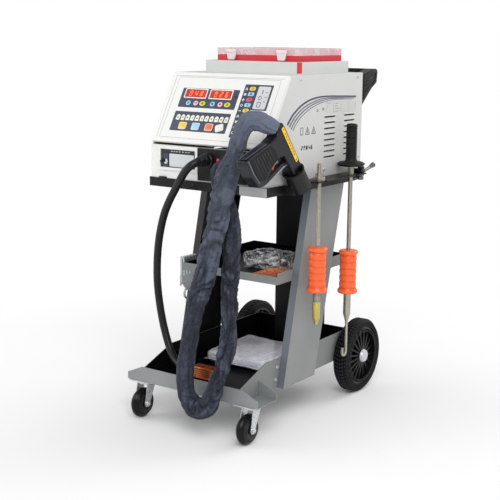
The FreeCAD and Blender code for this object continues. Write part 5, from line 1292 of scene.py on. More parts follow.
def make_side_signs():
    """A ruled table, two round marks, three outlined signs and a row of plain figures."""
    rules = []
    left, right, low, pitch, fall = 312, 456, 761, 6.4, 0.024

    def ruled(y, z):
        return z - (y - left) * fall

    for i in range(5):
        z = low + i * pitch
        rules.append([(left, z), (right, ruled(right, z)), (right, ruled(right, z) + 0.6),
                      (left, z + 0.6)])
    for i in range(5):
        y = left + (right - left - 0.8) * i / 4
        rules.append([(y, ruled(y, low)), (y + 0.8, ruled(y, low)),
                      (y + 0.8, ruled(y, low + 4 * pitch)), (y, ruled(y, low + 4 * pitch))])
    for column in range(4):
        for row in range(4):
            y = left + 6 + column * 36
            z = ruled(y, low + 2.4 + row * pitch)
            rules.append(rounded_loop(y, y + 15 + (column + row) % 3 * 4, z, z + 1.5, 0.4, 1))
    flat_trim("side_table", rules, 0.15, RIGHT_SIDE, printed_faint)
    marks = []
    for y, z, size in ((272, 769, 4.2), (298, 771, 4.6)):
        marks += [ring_loop(y, z, size, size * 0.76), ring_loop(y, z, size * 0.56,
                                                                size * 0.4)]
    marks += [rounded_loop(196, 208, 714, 732, 1), rounded_loop(197.6, 206.4, 715.6, 730.4, 0.6)]
    for y in (228, 256):
        marks += [[(y - 10, 714), (y + 10, 714), (y, 733)],
                  [(y - 7, 715.6), (y + 7, 715.6), (y, 729)],
                  rounded_loop(y - 0.9, y + 0.9, 717, 725, 0.5, 1)]
    for i, figure in enumerate("20846"):
        marks += [[(200 + i * 11 + px * 0.9, 678 + pz * 0.7) for px, pz in bar]
                  for bar in digit_bars(0, 0, figure)]
    flat_trim("side_signs", marks, 0.15, RIGHT_SIDE, printed_ink)


def louvre_hood():
    """One pressed hood: a half-round bulge that dies into the sheet at both ends."""
    bpy.ops.object.select_all(action="DESELECT")
    bpy.ops.mesh.primitive_cylinder_add(vertices=20, radius=1, depth=1)
    item = bpy.context.active_object
    item.data.transform(Matrix.Rotation(math.radians(90), 4, "Y"))
    edit_all()
    bpy.ops.mesh.bisect(plane_co=(0, 0, 0), plane_no=(0, 0, 1), clear_inner=True,
                        use_fill=True)
    bpy.ops.object.mode_set(mode="OBJECT")
    bevelled(item, 0.05, 1)
    for vertex in item.data.vertices:
        share = abs(vertex.co.x) * 2
        narrow = 1 - 0.45 * share ** 3
        vertex.co = (vertex.co.x * 56 * MM, vertex.co.y * 1.9 * narrow * MM,
                     vertex.co.z * 1.7 * narrow * MM)
    return item


SLOT_LOW_Z = 651
SLOT_PITCH = 14
HOOD_RISE = 5.2


def make_louvres():
    """A hood above each slot of both sides, and above the slots of the rear."""
    pattern = louvre_hood()
    rear = faced(at(0, 491, 0), (-1, 0, 0), (0, 0, 1))
    for side, plane, columns, rows in (
            ("right", RIGHT_SIDE, (332, 428), 8), ("left", LEFT_SIDE, (-332, -428), 8),
            ("rear", rear, (-27, 27), 6)):
        hoods = [copied(pattern, plane @ Matrix.Translation(
            (across * MM, (SLOT_LOW_Z + SLOT_PITCH * row + HOOD_RISE) * MM, 0)))
            for across in columns for row in range(rows)]
        dressed(joined("louvre_hoods_" + side, hoods), casing_light, smooth=40)
    bpy.data.objects.remove(pattern)


def solid_boxes(name):
    """The boxes round the separate solids of one node."""
    mesh = NODES[name].data
    parent = {}

    def root(key):
        while parent[key] != key:
            parent[key] = parent[parent[key]]
            key = parent[key]
        return key

    keys = [tuple(round(value * 20000) for value in vertex.co) for vertex in mesh.vertices]
    for key in keys:
        parent.setdefault(key, key)
    for polygon in mesh.polygons:
        first = root(keys[polygon.vertices[0]])
        for index in polygon.vertices[1:]:
            parent[root(keys[index])] = first
    boxes = {}
    for key, vertex in zip(keys, mesh.vertices):
        low, high = boxes.setdefault(root(key), (vertex.co.copy(), vertex.co.copy()))
        for axis in range(3):
            low[axis] = min(low[axis], vertex.co[axis])
            high[axis] = max(high[axis], vertex.co[axis])
    return sorted(boxes.values(), key=lambda pair: tuple(pair[0]))


def cross_screw():
    """A pan head with a cross cut into it."""
    head = spun_piece("cross_screw", [(0.02, 0), (3.7, 0), (3.7, 0.6), (3.3, 1.2),
                                      (2.4, 1.6), (0.02, 1.75)], steps=20)
    slots = [rounded_box("slot", (-across, -along, 1.45), (across, along, 1.82), 0.1,
                         segments=1) for across, along in ((2.1, 0.45), (0.45, 2.1))]
    head.data.materials.append(zinc)
    for slot in slots:
        slot.data.materials.append(black_plastic)
    return joined("cross_screw", [head] + slots)


def hex_bolt():
    """A hexagon head on a washer."""
    washer = spun_piece("hex_bolt", [(0.02, 0), (5.4, 0), (5.4, 0.8), (0.02, 0.8)], steps=20)
    bpy.ops.object.select_all(action="DESELECT")
    bpy.ops.mesh.primitive_cylinder_add(vertices=6, radius=4.3 * MM, depth=3 * MM,
                                        location=(0, 0, 2.2 * MM))
    head = bpy.context.active_object
    bpy.ops.object.transform_apply(location=True)
    bevelled(head, 0.5 * MM, 2)
    washer.data.materials.append(zinc)
    head.data.materials.append(zinc)
    return joined("hex_bolt", [washer, head])


def make_fasteners():
    """Screws on the housing and bolts on the trolley, where the solids have theirs."""
    screw = cross_screw()
    bolt = hex_bolt()
    made = []
    for low, high in solid_boxes("fasteners"):
        size = high - low
        axis = min(range(3), key=lambda i: size[i])
        base = (low + high) / 2
        side = 1 if base.x > ROW_X else -1
        turn = turn_to((side, 0, 0) if axis == 0 else (0, 1, 0))
        base[axis] = (low if (axis == 1 or side > 0) else high)[axis]
        pattern = screw if size[axis] < 0.0025 else bolt
        spin = Matrix.Rotation(0.4 + len(made) * 0.7, 4, "Z")
        made.append(copied(pattern, Matrix.Translation(base) @ turn @ spin))
    heads = joined("screw_and_bolt_heads", made)
    dressed(heads, None, "frame")
    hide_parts("fasteners")
    bpy.data.objects.remove(screw)
    bpy.data.objects.remove(bolt)


def front_print(name, loops, finish, lift, thickness=0.3):
    """A thin print or label on the front of the housing."""
    flat_trim(name, loops, thickness, FRONT, finish, lift)


def make_front():
    """Label flap, marks and knob round the breaker, and what sits on the socket panel."""
    front_print("breaker_band", [rounded_loop(-138, -34, 665.5, 673, 0.8)], printed_ink, 0.1)
    front_print("breaker_band_marks", [rounded_loop(x, x + 5.5, 668, 670.4, 0.4)
                                       for x in (-108, -100, -92, -84, -74, -64, -56)],
                printed_line, 0.4, 0.15)
    front_print("breaker_flap_edge", [rounded_loop(-113, -35, 631, 665, 3)], printed_ink, 1.2)
    front_print("breaker_flap", [rounded_loop(-111.6, -36.4, 632.3, 663.7, 2.6)],
                printed_pale, 1.5, 0.8)
    front_print("breaker_flap_line", [rounded_loop(-110, -38, 633.8, 634.4, 0.2, 1)],
                printed_line, 2.3, 0.12)
    front_print("breaker_column", [rounded_loop(-136, -116, 630, 664, 1.2)], printed_navy,
                0.1)
    knob = turned_piece("breaker_dial", [(6.4, 0), (6.4, 1), (5.2, 1.4), (0.2, 1.6)],
                        upright(-124, 52.6, 644), 24)
    dressed(knob, printed_pale)
    lamp = turned_piece("panel_lamp", [(5, 0), (5, 1.5), (3.8, 1.9), (3.8, 2.4), (2.6, 3.6),
                                       (0.2, 4.2)], upright(36, 50, 657), 24)
    dressed(lamp, red_plastic)
    corner = [rounded_loop(-22, 125, 609, 680, 2), rounded_loop(-20.6, 123.6, 610.4, 678.6, 1)]
    flat_trim("socket_panel_rib", corner, 0.5, upright(0, 50), black_plastic)
    flat_trim("shelf_plate", [rounded_loop(97, 173.6, 582, 602.6, 1)], 0.8, upright(0, 51),
              printed_pale)
    for i, x in enumerate((-168, -39, 60)):
        dot = turned_piece("lip_plug_%d" % i, [(3.4, 0), (3.2, 0.8), (2.2, 1.5), (0.2, 1.8)],
                           upright(x, 51, 593), 16)
        dressed(dot, black_plastic)
    foot = rounded_box("lip_stop", (-142, 46.5, 602.4), (-121, 52.9, 607), 1.2,
                       move_to(0, 0, 0))
    dressed(foot, black_plastic)


def make_top():
    """The tray's open red corner, the milky lid of the case and its two latches."""
    strip = joined("corner_strip", [
        flat_piece("strip", [rounded_loop(233.4, 246, 857, 883, 0.6)], 0.6,
                   faced(at(139, 0, 0), (0, 1, 0), (0, 0, 1))),
        flat_piece("strip", [rounded_loop(133.5, 139.5, 857, 883, 0.6)], 0.6,
                   upright(0, 233))])
    dressed(strip, red_plastic, "frame", smooth=0)
    milky, tree, shader = new_material("milky_clear")
    haze = cloudy(tree, object_place(tree), 16.0, 5.0, 0.65)
    tint = mixed(tree, between(tree, haze, 0.35, 0.65), rgb(244, 196, 204),
                 rgb(246, 236, 238))
    wire(tree, shader, {"Base Color": tint, "Transmission Weight": 0.35, "Metallic": 0.0,
                        "Roughness": between(tree, haze, 0.3, 0.7, 0.12, 0.4),
                        "IOR": 1.3, "Coat Weight": 0.4})
    coated("case_lid", milky)
    latch_plastic = hard_finish("latch_plastic", rgb(238, 222, 224), 0.26, coat=0.4,
                                edge_colour=rgb(250, 246, 246), grain_depth=0.05)
    for side, x, body in (("left", -75, "latch_left"), ("right", 75, "latch_right")):
        low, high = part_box("case_latch_" + side)
        middle_z = (low.z + high.z) / 2
        plane = faced((ROW_X + x * MM, high.y, middle_z), (1, 0, 0), (0, 0, 1))
        half = (high.z - low.z) / 2 / MM
        deep = (high.y - low.y) / MM
        shape = [(-15, half), (15, half), (10.5, -half * 0.72), (9, -half), (-9, -half),
                 (-10.5, -half * 0.72)]
        rib = rounded_loop(-12, 12, half * 0.45, half * 0.75, 1)
        grip = rounded_loop(-8, 8, -half * 0.9, -half * 0.7, 0.8)
        latch = joined("latch_" + side, [
            flat_piece("latch", [loop], depth, plane)
            for loop, depth in ((shape, deep), (rib, deep + 1.2), (grip, deep + 1.6))])
        dressed(latch, latch_plastic, body, smooth=0)
        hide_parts("case_latch_" + side)


make_stripes()
make_side_signs()
make_louvres()
make_fasteners()
make_front()
make_top()

# Gun trim, hammers, wheels and handle

GUN_HALF = 15
DOWN_BARREL = gun_at(1, 0) - gun_at(0, 0)
ACROSS_BARREL = gun_at(0, 1) - gun_at(0, 0)
yellow_print = hard_finish("yellow_print", rgb(253, 204, 10), 0.32, grain_depth=0.05,
                           cloud_share=0.1, cloud_scale=40.0)
strip_red = hard_finish("strip_red", rgb(134, 52, 26), 0.34, grain_depth=0.05)
# Light strips laid along the gun's edges as painted highlights.
gun_edge_line = hard_finish("gun_edge_line", rgb(118, 124, 138), 0.3, grain_depth=0.05)
silver_edge = hard_finish("silver_edge", rgb(176, 182, 190), 0.28, 0.6, grain_depth=0.05)


def gun_flat(name, loops, finish, thickness, lift=0.0, way=1):
    """A flat piece on one side of the gun, given by (across, down) from its top edge."""
    turn = Matrix((ACROSS_BARREL * way, DOWN_BARREL, Vector((way, 0, 0)))).transposed()
    corner = gun_at(0, 0, GUN_X + GUN_HALF * way)
    plane = Matrix.Translation(corner * MM + at(0, 0, 0)) @ turn.to_4x4()
    flat_trim(name, mirrored(loops, way), thickness, plane, finish, lift)


def make_gun_trim():
    """Label strip, grip pads, light edge lines and a guard edge painted as highlights, spine and
    the rim of the gun's cup.
    """
    gun_flat("gun_strip_border", [rounded_loop(3.4, 17.6, 3.5, 111, 2.4)], black_plastic, 0.5)
    gun_flat("gun_strip", [rounded_loop(5.4, 15.6, 6, 108.5, 1.6)], yellow_print, 0.3, 0.5)
    gun_flat("gun_strip_marks",
             [ring_loop(10.5, 12, 2, steps=14), ring_loop(10.5, 103, 2, steps=14)]
             + [rounded_loop(9.0, 11.6, 22 + i * 9, 28 + i * 9, 0.8) for i in range(8)],
             strip_red, 0.12, 0.8)
    pad = [(66, 8), (60, 36), (66, 50), (108, 46), (132, 52), (146, 40), (149, 12),
           (146, -20), (120, -11), (90, -1)]
    ribs = [[(78 + i * 9.5, 4 - i * 3), (80 + i * 9.5, 4 - i * 3), (80 + i * 9.5, 42),
             (78 + i * 9.5, 42)] for i in range(7)]
    butt = [(151.5, -26), (153.2, -26), (155.0, 12), (151.0, 44), (149.5, 44), (153.2, 12)]
    guard = [(34, 97.9), (56, 89.8), (129.6, 73.8), (150.7, 55.2), (149, 53), (128, 70.8),
             (55, 86.8), (34, 95)]
    for side, way in (("right", 1), ("left", -1)):
        gun_flat("gun_grip_pad_" + side, [pad], dull_rubber, 0.9, 0.0, way)
        gun_flat("gun_grip_ribs_" + side, ribs, gun_plastic, 0.6, 0.9, way)
        # Painted highlight: light lines along the butt and under the guard.
        gun_flat("gun_butt_line_" + side, [butt], gun_edge_line, 0.35, 0.0, way)
        gun_flat("gun_guard_edge_" + side, [guard], silver_edge, 0.5, -8.0, way)
    spine_way = (gun_at(-29, 153) - gun_at(1, 72)).normalized()
    outward = Vector((1, 0, 0)).cross(spine_way)
    if outward.dot(gun_at(-30, 90) - gun_at(0, 90)) < 0:
        outward = -outward
    across = spine_way.cross(outward)
    spine_plane = faced(at(*gun_at(1.6, 68)), across, spine_way)
    flat_trim("gun_spine", [rounded_loop(-10, 10, 4, 90, 4)], 1.6, spine_plane, gun_plastic,
              -0.2)
    # Painted highlight along both edges of the spine.
    flat_trim("gun_spine_lines", [rounded_loop(-9, -7.8, 6, 88, 0.4),
                                  rounded_loop(7.8, 9, 6, 88, 0.4)], 0.3, spine_plane,
              gun_edge_line, 1.4)
    ring = spun_piece("cup_rim", [(22.6, 0), (26.4, 0), (27.2, 1.4), (26.6, 3), (22.6, 3)],
                      facing(*gun_at(130.5, 20), DOWN_BARREL))
    dressed(ring, dull_rubber)


def make_weights():
    """Orange sliding weights: flanged ends and five soft bulges, bored for the rod."""
    for side, y, low_z, body in (("left", LEFT_HAMMER_Y, 332, "left_weight"),
                                 ("right", RIGHT_HAMMER_Y, 301, "right_weight")):
        outer = [(6.2, 0), (20, 0), (24, 1.2), (25.6, 4), (25.6, 7.5), (24, 10.5),
                 (21.4, 13.5)]
        for i in range(5):
            base = 15.5 + i * 16.6
            for k in range(1, 7):
                angle = math.pi * k / 7
                outer.append((20.1 + 1.7 * math.sin(angle) ** 0.6, base + 16.6 * k / 7))
            outer.append((20.1, base + 16.6))
        outer += [(21.4, 101), (23.6, 103.5), (24.4, 106), (24.2, 109), (22.4, 111.4),
                  (18, 112), (6.2, 112)]
        weight = spun_piece("hammer_weight_" + side, outer, move_to(HAMMER_X, y, low_z), 48)
        dressed(weight, weight_orange, body, smooth=50)
        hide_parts(side + "_hammer_weight")


TIP_TOP, CHUCK_TOP = 0.308, 0.3318


def hammer_painter(tree):
    """Steel rod, knurled chuck painted black in the grooves as shade and bright on the ridges as
    highlight, brass tip below it.
    """
    x, y, z = place_split(tree)
    turned = calc(tree, "ARCTAN2", calc(tree, "SUBTRACT", y, ROW_Y + LEFT_HAMMER_Y * MM),
                  calc(tree, "SUBTRACT", x, ROW_X + HAMMER_X * MM))
    around = calc(tree, "MULTIPLY", turned, 7.0)
    upwards = calc(tree, "MULTIPLY", z, 1000.0)
    knurl = calc(tree, "MULTIPLY",
                 calc(tree, "SINE", calc(tree, "ADD", around, upwards)),
                 calc(tree, "SINE", calc(tree, "SUBTRACT", around, upwards)))
    # Painted shade and highlight of the knurl: black grooves, bright ridges.
    knurl_light_and_shade = mixed(tree, between(tree, knurl, -0.15, 0.15), rgb(14, 14, 14),
                    rgb(214, 210, 200))
    steel = rgb(178, 172, 158)
    chucked = mixed(tree, inside(tree, z, TIP_TOP, CHUCK_TOP), steel, knurl_light_and_shade)
    return mixed(tree, calc(tree, "LESS_THAN", z, TIP_TOP), chucked, rgb(205, 190, 112))


def make_hammers():
    """The weights, and on the rods the chuck, washer, thread, grip ribs and crown."""
    make_weights()
    coated("left_hammer_rod", hard_finish(
        "rod_and_tip", GREY, 0.3, 0.85, painter=hammer_painter,
        edge_colour=rgb(226, 220, 204), grain_scale=500.0, grain_depth=0.05,
        cloud_scale=40.0, cloud_share=0.22))
    washer = spun_piece("stop_washer", [(5.9, 0), (9, 0), (9, 0.7), (5.9, 0.7)],
                        move_to(HAMMER_X, LEFT_HAMMER_Y, 331), 24)
    thread = [spun_piece("thread", [(5.3, 0), (5.9, 0.7), (5.3, 1.4)],
                         move_to(HAMMER_X, LEFT_HAMMER_Y, 626 + i * 1.75), 20)
              for i in range(12)]
    dressed(joined("stub_thread", thread), rod_steel, "left_hammer")
    dressed(washer, zinc, "left_hammer")
    ribs = [spun_piece("grip_rib", [(12.8, 0), (13.7, 0.8), (14.0, 2.1), (13.7, 3.4),
                                    (12.8, 4.2)],
                       move_to(HAMMER_X, RIGHT_HAMMER_Y, 644 + i * 5), 32)
            for i in range(16)]
    dressed(joined("grip_ribs", ribs), dull_rubber, "right_hammer")
    crown = turned_piece("grip_crown", [(13.4, 0), (14.4, 1.5), (14.4, 4), (13, 7), (10, 9),
                                        (0.2, 10)],
                         move_to(HAMMER_X, RIGHT_HAMMER_Y, 724), 32)
    dressed(crown, dull_rubber, "right_hammer")


def make_block_trim():
    """A bright rim, folds and a ribbed strap on the copper block's front."""
    low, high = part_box("earth_block")
    wide = (high.x - low.x) / MM
    tall = (high.z - low.z) / MM
    plane = faced(low, (1, 0, 0), (0, 0, 1))
    rim = flat_piece("rim", [rounded_loop(0.6, wide - 0.6, 0.6, tall - 0.6, 7),
                             rounded_loop(3.4, wide - 13, 3.4, tall - 3.6, 5)], 1.2, plane)
    ribs = flat_piece("rim", [rounded_loop(wide - 11, wide - 2, 4 + i * 4.6, 6.6 + i * 4.6, 1)
                              for i in range(5)], 1.0, plane, 1.2)
    dressed(joined("block_rim", [rim, ribs]), stud_copper, "frame", smooth=0)
    folds = [rounded_loop(6, wide - 18 + i * 2, 7 + i * 5, 8.4 + i * 5, 0.5)
             for i in range(4)]
    flat_trim("block_folds", folds, 0.5, plane, dark_copper)


def make_claw_trim():
    """Bright round-ended pins on the claw's plate, in line with its fingers."""
    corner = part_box("claw_puller")[0]
    pins = []
    for i in range(5):
        place = Matrix.Translation((corner.x, corner.y + (3 + 12 * i) * MM, 0))
        pins.append(rounded_box("claw_pin", (-2.2, -2.6, 312), (1.2, 2.6, 340), 1.6, place,
                                3))
    dressed(joined("claw_pins", pins), cap_silver, "claw")


PIVOT_Y, PIVOT_Z = 440, 600


def make_clamp_trim():
    """Jaw, knob, collars and screw of the clamp at the rear of the tool bracket."""
    jaw = rounded_box("clamp_jaw", (182, 411, 607.2), (220, 429, 618), 3.6,
                      move_to(0, 0, 0), 3)
    knob = turned_piece("clamp_knob", [
        (8.4, 0), (8.8, 1), (8.8, 3.6), (7.6, 5), (4, 6), (0.2, 6.4)],
        facing(212, 420, 618), 24)
    collars = [turned_piece(
        "clamp_collar", [(r, 0), (r + 0.9, 0.9), (r + 0.9, 2.6), (r, 3.4), (0.2, 3.5)],
        facing(x, PIVOT_Y, PIVOT_Z, (1, 0, 0)), 32) for x, r in ((177.5, 13.2), (188, 12))]
    dressed(joined("clamp_jaw", [jaw, knob] + collars), clamp_steel, "frame", smooth=40)
    screw = turned_piece("clamp_screw", [
        (7.4, 0), (7.6, 3), (5.4, 4), (5.4, 6), (7.4, 7), (7.4, 13), (6.2, 14.6), (0.2, 15)],
                         facing(211, 421, 603.6, (0, 0, -1)), 6)
    dressed(screw, lever_steel, "frame", smooth=30)
    cap = turned_piece("lever_cap", [(6.6, 0), (6.8, 1), (6.8, 4), (5.6, 5.2), (0.2, 6)],
                       facing(202, PIVOT_Y, PIVOT_Z, (1, 0, 0)), 24)
    dressed(cap, clamp_steel, "lever", smooth=40)


def make_wheels():
    """Bright hub caps and rim rings on the rear wheels, caps on the casters."""
    for side, way in (("left", -1), ("right", 1)):
        place = facing(way * WHEEL_X, WHEEL_Y, WHEEL_Z, (way, 0, 0))
        cap = turned_piece("hub_cap_" + side, [
            (17.5, -1), (17.5, 1.2), (16.6, 2.2), (16.2, 5.2), (15, 6.6), (11, 7.6),
            (0.2, 8.2)], place, 40)
        dressed(cap, cap_silver, "wheel_" + side)
        lines = [spun_piece("rim_line", [(r, -0.6), (r + 1.6, -0.6), (r + 1.6, 0.9), (r, 0.9)],
                            place, 64) for r in (66.5, 72.5)]
        dressed(joined("rim_lines_" + side, lines), black_plastic, "wheel_" + side)
        nuts = []
        hubs = []
        for face in (-1, 1):
            nuts.append(turned_piece(
                "caster_nut", [(6.8, 0), (6.8, 2.6), (5.6, 3.8), (3.2, 3.9), (3.2, 5.4),
                               (0.2, 5.8)],
                facing(way * CASTER_X + face * 18.4, 0, CASTER_Z, (face, 0, 0)),
                6 if face < 0 else 20))
            hubs.append(spun_piece(
                "hub", [(13, -1), (24, -1), (24, 0.2), (22, 1.2), (15, 1.2), (13, 0.2)],
                facing(way * CASTER_X + face * 12, 0, CASTER_Z, (face, 0, 0)), 40))
        dressed(joined("caster_nuts_" + side, nuts), zinc, "caster_swivel_" + side)
        dressed(joined("caster_rings_" + side, hubs), black_plastic,
                "caster_roller_" + side)


def make_handle_trim():
    """A raised border and ribs on each cheek of the push handle."""
    shape = [(498, 846), (538, 857), (560, 858), (565, 853), (562, 832), (536, 817),
             (498, 787)]
    middle_y, middle_z = 530, 836
    inner = [(middle_y + (y - middle_y) * 0.84, middle_z + (z - middle_z) * 0.8)
             for y, z in shape]
    ribs = [[(506, 806 + i * 11), (550, 826 + i * 8.4), (550, 828.4 + i * 8.4),
             (506, 808.6 + i * 11)] for i in range(3)]
    for side, plane, way in SIDES:
        trim = [flat_piece("trim", mirrored(loops, way), 1.2, plane)
                for loops in ((shape, inner), ribs)]
        dressed(joined("handle_trim_" + side, trim), black_plastic, smooth=0)


make_gun_trim()
make_hammers()
make_claw_trim()
make_block_trim()
make_clamp_trim()
make_wheels()
make_handle_trim()

# Bags and booklet


def shaped(item, kind, **options):
    """Change a piece by one modifier and keep the result."""
    take(item)
    bpy.ops.object.modifier_add(type=kind)
    modifier = item.modifiers[-1]
    for option, value in options.items():
        setattr(modifier, option, value)
    bpy.ops.object.modifier_apply(modifier=modifier.name)


CLOTH_FRAMES = 20


def swollen(item, pressure, cap):
    """Cloth blown up from within; no point moves further than the cap, in metres."""
    start = [vertex.co.copy() for vertex in item.data.vertices]
    take(item)
    bpy.ops.object.modifier_add(type="CLOTH")
    cloth = item.modifiers[-1]
    cloth.settings.quality = 6
    cloth.settings.mass = 0.2
    cloth.settings.tension_stiffness = 20
    cloth.settings.bending_stiffness = 0.4
    cloth.settings.use_pressure = True
    cloth.settings.uniform_pressure_force = pressure
    cloth.settings.effector_weights.gravity = 0
    scene = bpy.context.scene
    for frame_number in range(1, CLOTH_FRAMES + 1):
        scene.frame_set(frame_number)
    bpy.ops.object.modifier_apply(modifier=cloth.name)
    scene.frame_set(1)
    for vertex, before in zip(item.data.vertices, start):
        moved = vertex.co - before
        if moved.length > cap:
            vertex.co = before + moved.normalized() * cap


def pillow(name, low, high, voxel, pressure, cap):
    """A slack bag between two corners in mm, round at its edges."""
    item = rounded_box(name, low, high, min(h - l for l, h in zip(low, high)) * 0.32,
                       move_to(0, 0, 0), 3)
    shaped(item, "REMESH", mode="VOXEL", voxel_size=voxel)
    swollen(item, pressure, cap)
    shaped(item, "SUBSURF", levels=1, render_levels=1)
    return item


def fitted(item, low, high):
    """Hold a swollen piece inside the room it lies in; its underside lies flat."""
    low = at(*low)
    high = at(*high)
    for vertex in item.data.vertices:
        for axis in range(3):
            vertex.co[axis] = min(max(vertex.co[axis], low[axis]), high[axis])
    return item


def crumpled(item, seed, scale, depth, low_z):
    """Push the skin in and out along sharp folds that run across one another."""
    mesh = item.data
    normals = [vertex.normal.copy() for vertex in mesh.vertices]
    crests = []
    for vertex, normal in zip(mesh.vertices, normals):
        place = vertex.co * scale + Vector((seed, seed * 0.7, 0))
        bend = Vector((noise.noise(place * 0.6), noise.noise(place * 0.6 + Vector((9, 4, 2))),
                       0)) * 1.1
        first = 1 - abs(noise.noise(place + bend)) * 2.4
        second = 1 - abs(noise.noise(place * 2.3 + bend * 2)) * 2.2
        height = first * abs(first) * 0.65 + second * 0.35
        crests.append(0.5 + height * 0.5)
        if vertex.co.z > low_z:
            vertex.co += normal * (height - 0.4) * depth
    keep_crests(mesh, crests)


def manual_finish():
    """A booklet in a lilac-white bag: soft folds, their crests painted bright as highlight,
    their valleys and crease lines painted grey as shade.
    """
    material, tree, shader = new_material("manual_film")
    place = object_place(tree)
    crest = crest_of(tree)
    warp = node(tree, "TexNoise", {"Vector": place, "Scale": 14.0, "Detail": 4.0,
                                   "Roughness": 0.6})
    stretch = node(tree, "VectorMath", {0: place, 1: warp.outputs["Color"]},
                   operation="ADD").outputs[0]
    cracks, fine = (node(tree, "TexVoronoi", {"Vector": stretch, "Scale": scale},
                         feature="DISTANCE_TO_EDGE").outputs["Distance"]
                    for scale in (17.0, 46.0))
    # Painted shade along the crease lines.
    line = between(tree, cracks, 0.0, 0.035, 0.9, 0.0)
    fine_crease_shade = between(tree, fine, 0.0, 0.03, 0.55, 0.0)
    # Painted highlight on the fold crests, painted shade in the valleys.
    base = mixed(tree, between(tree, crest, 0.35, 0.8), rgb(204, 204, 218),
                 rgb(238, 238, 246))
    base = mixed(tree, calc(tree, "MAXIMUM", line, fine_crease_shade, clamp=True), base,
                 rgb(122, 122, 144))
    height = calc(tree, "ADD", between(tree, cracks, 0.0, 0.05),
                  calc(tree, "MULTIPLY", between(tree, fine, 0.0, 0.04), 0.4))
    wire(tree, shader, {"Base Color": base, "Roughness": 0.24, "Coat Weight": 0.5,
                        "Normal": bumped(tree, 0.5, 0.0012, height)})
    return material


def make_manual():
    """The booklet in its bag, with the wavy seam along the bag's front edge."""
    item = pillow("bagged_manual", (-124, 206, 102), (80, 408, 131), 0.005, 3.5, 0.006)
    crumpled(item, 3.7, 16, 0.0035, at(0, 0, 104).z)
    fitted(item, (-128, 202, 100.6), (84, 412, 134))
    seam = flat_piece("manual_seam", [
        [(x, 199 + 2.0 * math.sin(x / 9)) for x in range(-118, 78, 6)]
        + [(x, 209) for x in range(76, -120, -6)]], 0.7, move_to(0, 0, 112))
    finish = manual_finish()
    dressed(item, finish, "manual", smooth=60)
    dressed(seam, finish, "manual", smooth=0)
    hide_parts("manual_bag")


def film_finish():
    """Clear crackling film: see-through, with opaque white glints painted along its fold crests
    as highlight.
    """
    material, tree, shader = new_material("clear_film")
    crest = crest_of(tree)
    rough = cloudy(tree, object_place(tree), 90.0, 6.0, 0.75)
    # Painted highlight: the film turns opaque white along the fold crests.
    painted_glint = calc(tree, "MULTIPLY", between(tree, crest, 0.6, 0.8),
                 between(tree, rough, 0.44, 0.56), clamp=True)
    alpha = calc(tree, "ADD", 0.06, calc(tree, "MULTIPLY", painted_glint, 0.8), clamp=True)
    wire(tree, shader, {"Base Color": rgb(232, 234, 238), "Roughness": 0.08,
                        "Alpha": alpha, "Normal": bumped(tree, 0.5, 0.001, rough),
                        "Coat Weight": 1.0})
    return material


HEAP_X, HEAP_Y, HEAP_Z = 52, 294, 362
HEAP_HALF_X, HEAP_HALF_Y = 94, 50
HEAP_RISE = 27


def scattered(rng, name, pattern, count, finish, across, along, lift):
    """Copies of a small part strewn over a patch of the bag's heap."""
    copies = []
    for _ in range(count):
        x = rng.uniform(*across)
        y = rng.uniform(*along)
        crown = 1 - ((x - HEAP_X) / HEAP_HALF_X) ** 2 * 0.6 \
            - ((y - HEAP_Y) / HEAP_HALF_Y) ** 2 * 0.4
        z = HEAP_Z + rng.uniform(*lift) * HEAP_RISE * crown
        turn = Matrix.Rotation(rng.uniform(0, 6.3), 4, "Z") \
            @ Matrix.Rotation(rng.gauss(0, 0.5), 4, "X")
        copies.append(copied(pattern, move_to(x, y, z) @ turn))
    heap = fitted(joined(name, copies), (-34, 253, 360), (138, 336, 394))
    dressed(heap, finish, "bag", smooth=30)


def bag_card(name, points, lift, finish):
    """A crinkled card lying in the bag, its corners given by (x, y) in mm."""
    card = flat_piece(name, [points], 0.8, move_to(0, 0, lift))
    take(card)
    edit_all()
    bpy.ops.mesh.subdivide(number_cuts=5)
    bpy.ops.object.mode_set(mode="OBJECT")
    for vertex in card.data.vertices:
        vertex.co.z += 0.007 * noise.noise(vertex.co * 34) + 0.012 \
            * max(0, (vertex.co.y - at(0, 262, 0).y) / 0.072)
    dressed(fitted(card, (0, 251, 360), (138, 338, 397)), finish, "bag", smooth=60)


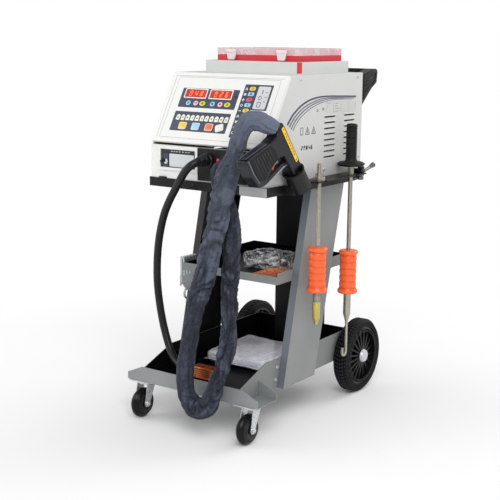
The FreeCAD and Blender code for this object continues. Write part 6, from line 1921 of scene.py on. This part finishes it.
def make_parts_bag():
    """The clear bag with the small parts it holds, under two crinkled cards."""
    rng = random.Random(17)
    item = pillow("parts_bag_film", (-36, 250, 361), (138, 338, 398), 0.0042, 5, 0.008)
    crumpled(item, 8.1, 30, 0.009, at(0, 0, 361).z)
    fitted(item, (-41, 247, 358.6), (143, 341, 403))
    dressed(item, film_finish(), "bag", smooth=50)
    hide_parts("parts_bag")
    brown = hard_finish("bag_copper", rgb(126, 62, 40), 0.3, 0.6, grain_depth=0.1,
                        cloud_scale=60.0, cloud_share=0.3)
    washer = spun_piece("washer", [(3, 0), (6.5, 0), (6.5, 1.2), (3, 1.2)], steps=10)
    stick = turned_piece("stick", [(1.6, 0), (1.6, 22), (3.2, 23), (3.2, 25)],
                         Matrix.Rotation(math.radians(86), 4, "X"), 8)
    scattered(rng, "bag_washers", washer, 90, brown, (66, 132), (258, 330), (0.1, 0.8))
    scattered(rng, "bag_pins", stick, 46, rod_steel, (30, 120), (270, 320), (0.2, 0.8))
    scattered(rng, "bag_rings", washer, 70, black_plastic, (-10, 90), (258, 330), (0.1, 0.7))
    scattered(rng, "bag_hooks", stick, 60, cap_silver, (-30, 50), (256, 300), (0.1, 0.75))
    for pattern in (washer, stick):
        bpy.data.objects.remove(pattern)
    bag_card("bag_card", [(4, 254), (40, 252), (78, 262), (84, 300), (70, 336), (8, 334)],
             372, black_plastic)
    bag_card("bag_slip", [(26, 262), (58, 254), (64, 282), (34, 296)], 379, printed_white)


make_manual()
make_parts_bag()

# Floor and background


def make_floor():
    """The pale floor, which fades to white at a distance, and the white sky."""
    bpy.ops.object.select_all(action="DESELECT")
    bpy.ops.mesh.primitive_plane_add(size=14, location=(0, 0, 0))
    floor = bpy.context.active_object
    floor.name = "floor"
    material, tree, shader = new_material("pale_floor")
    place = object_place(tree)
    grain = cloudy(tree, place, 3.0, 3.0)
    shade = mixed(tree, grain, (0.90, 0.90, 0.90, 1), (0.94, 0.94, 0.94, 1))
    wire(tree, shader, {"Base Color": shade, "Roughness": 0.9})
    distance = node(tree, "VectorMath", {0: place}, operation="LENGTH").outputs["Value"]
    seen = calc(tree, "MULTIPLY", between(tree, distance, 0.45, 1.3),
                node(tree, "LightPath").outputs["Is Camera Ray"], clamp=True)
    white = node(tree, "Emission", {"Color": (1, 1, 1, 1), "Strength": 1.0})
    faded = node(tree, "MixShader", {0: seen, 1: shader.outputs[0], 2: white.outputs[0]})
    wire(tree, tree.nodes["Material Output"], {"Surface": faded.outputs[0]})
    floor.data.materials.append(material)
    world = bpy.data.worlds.new("studio")
    bpy.context.scene.world = world
    world.use_nodes = True
    sky = world.node_tree
    background = sky.nodes["Background"]
    rays = node(sky, "LightPath").outputs
    seen = calc(sky, "MAXIMUM", rays["Is Camera Ray"], rays["Is Transmission Ray"])
    wire(sky, background, {"Color": (1, 1, 1, 1),
                           "Strength": between(sky, seen, 0.0, 1.0, 0.55, 1.0)})


make_floor()
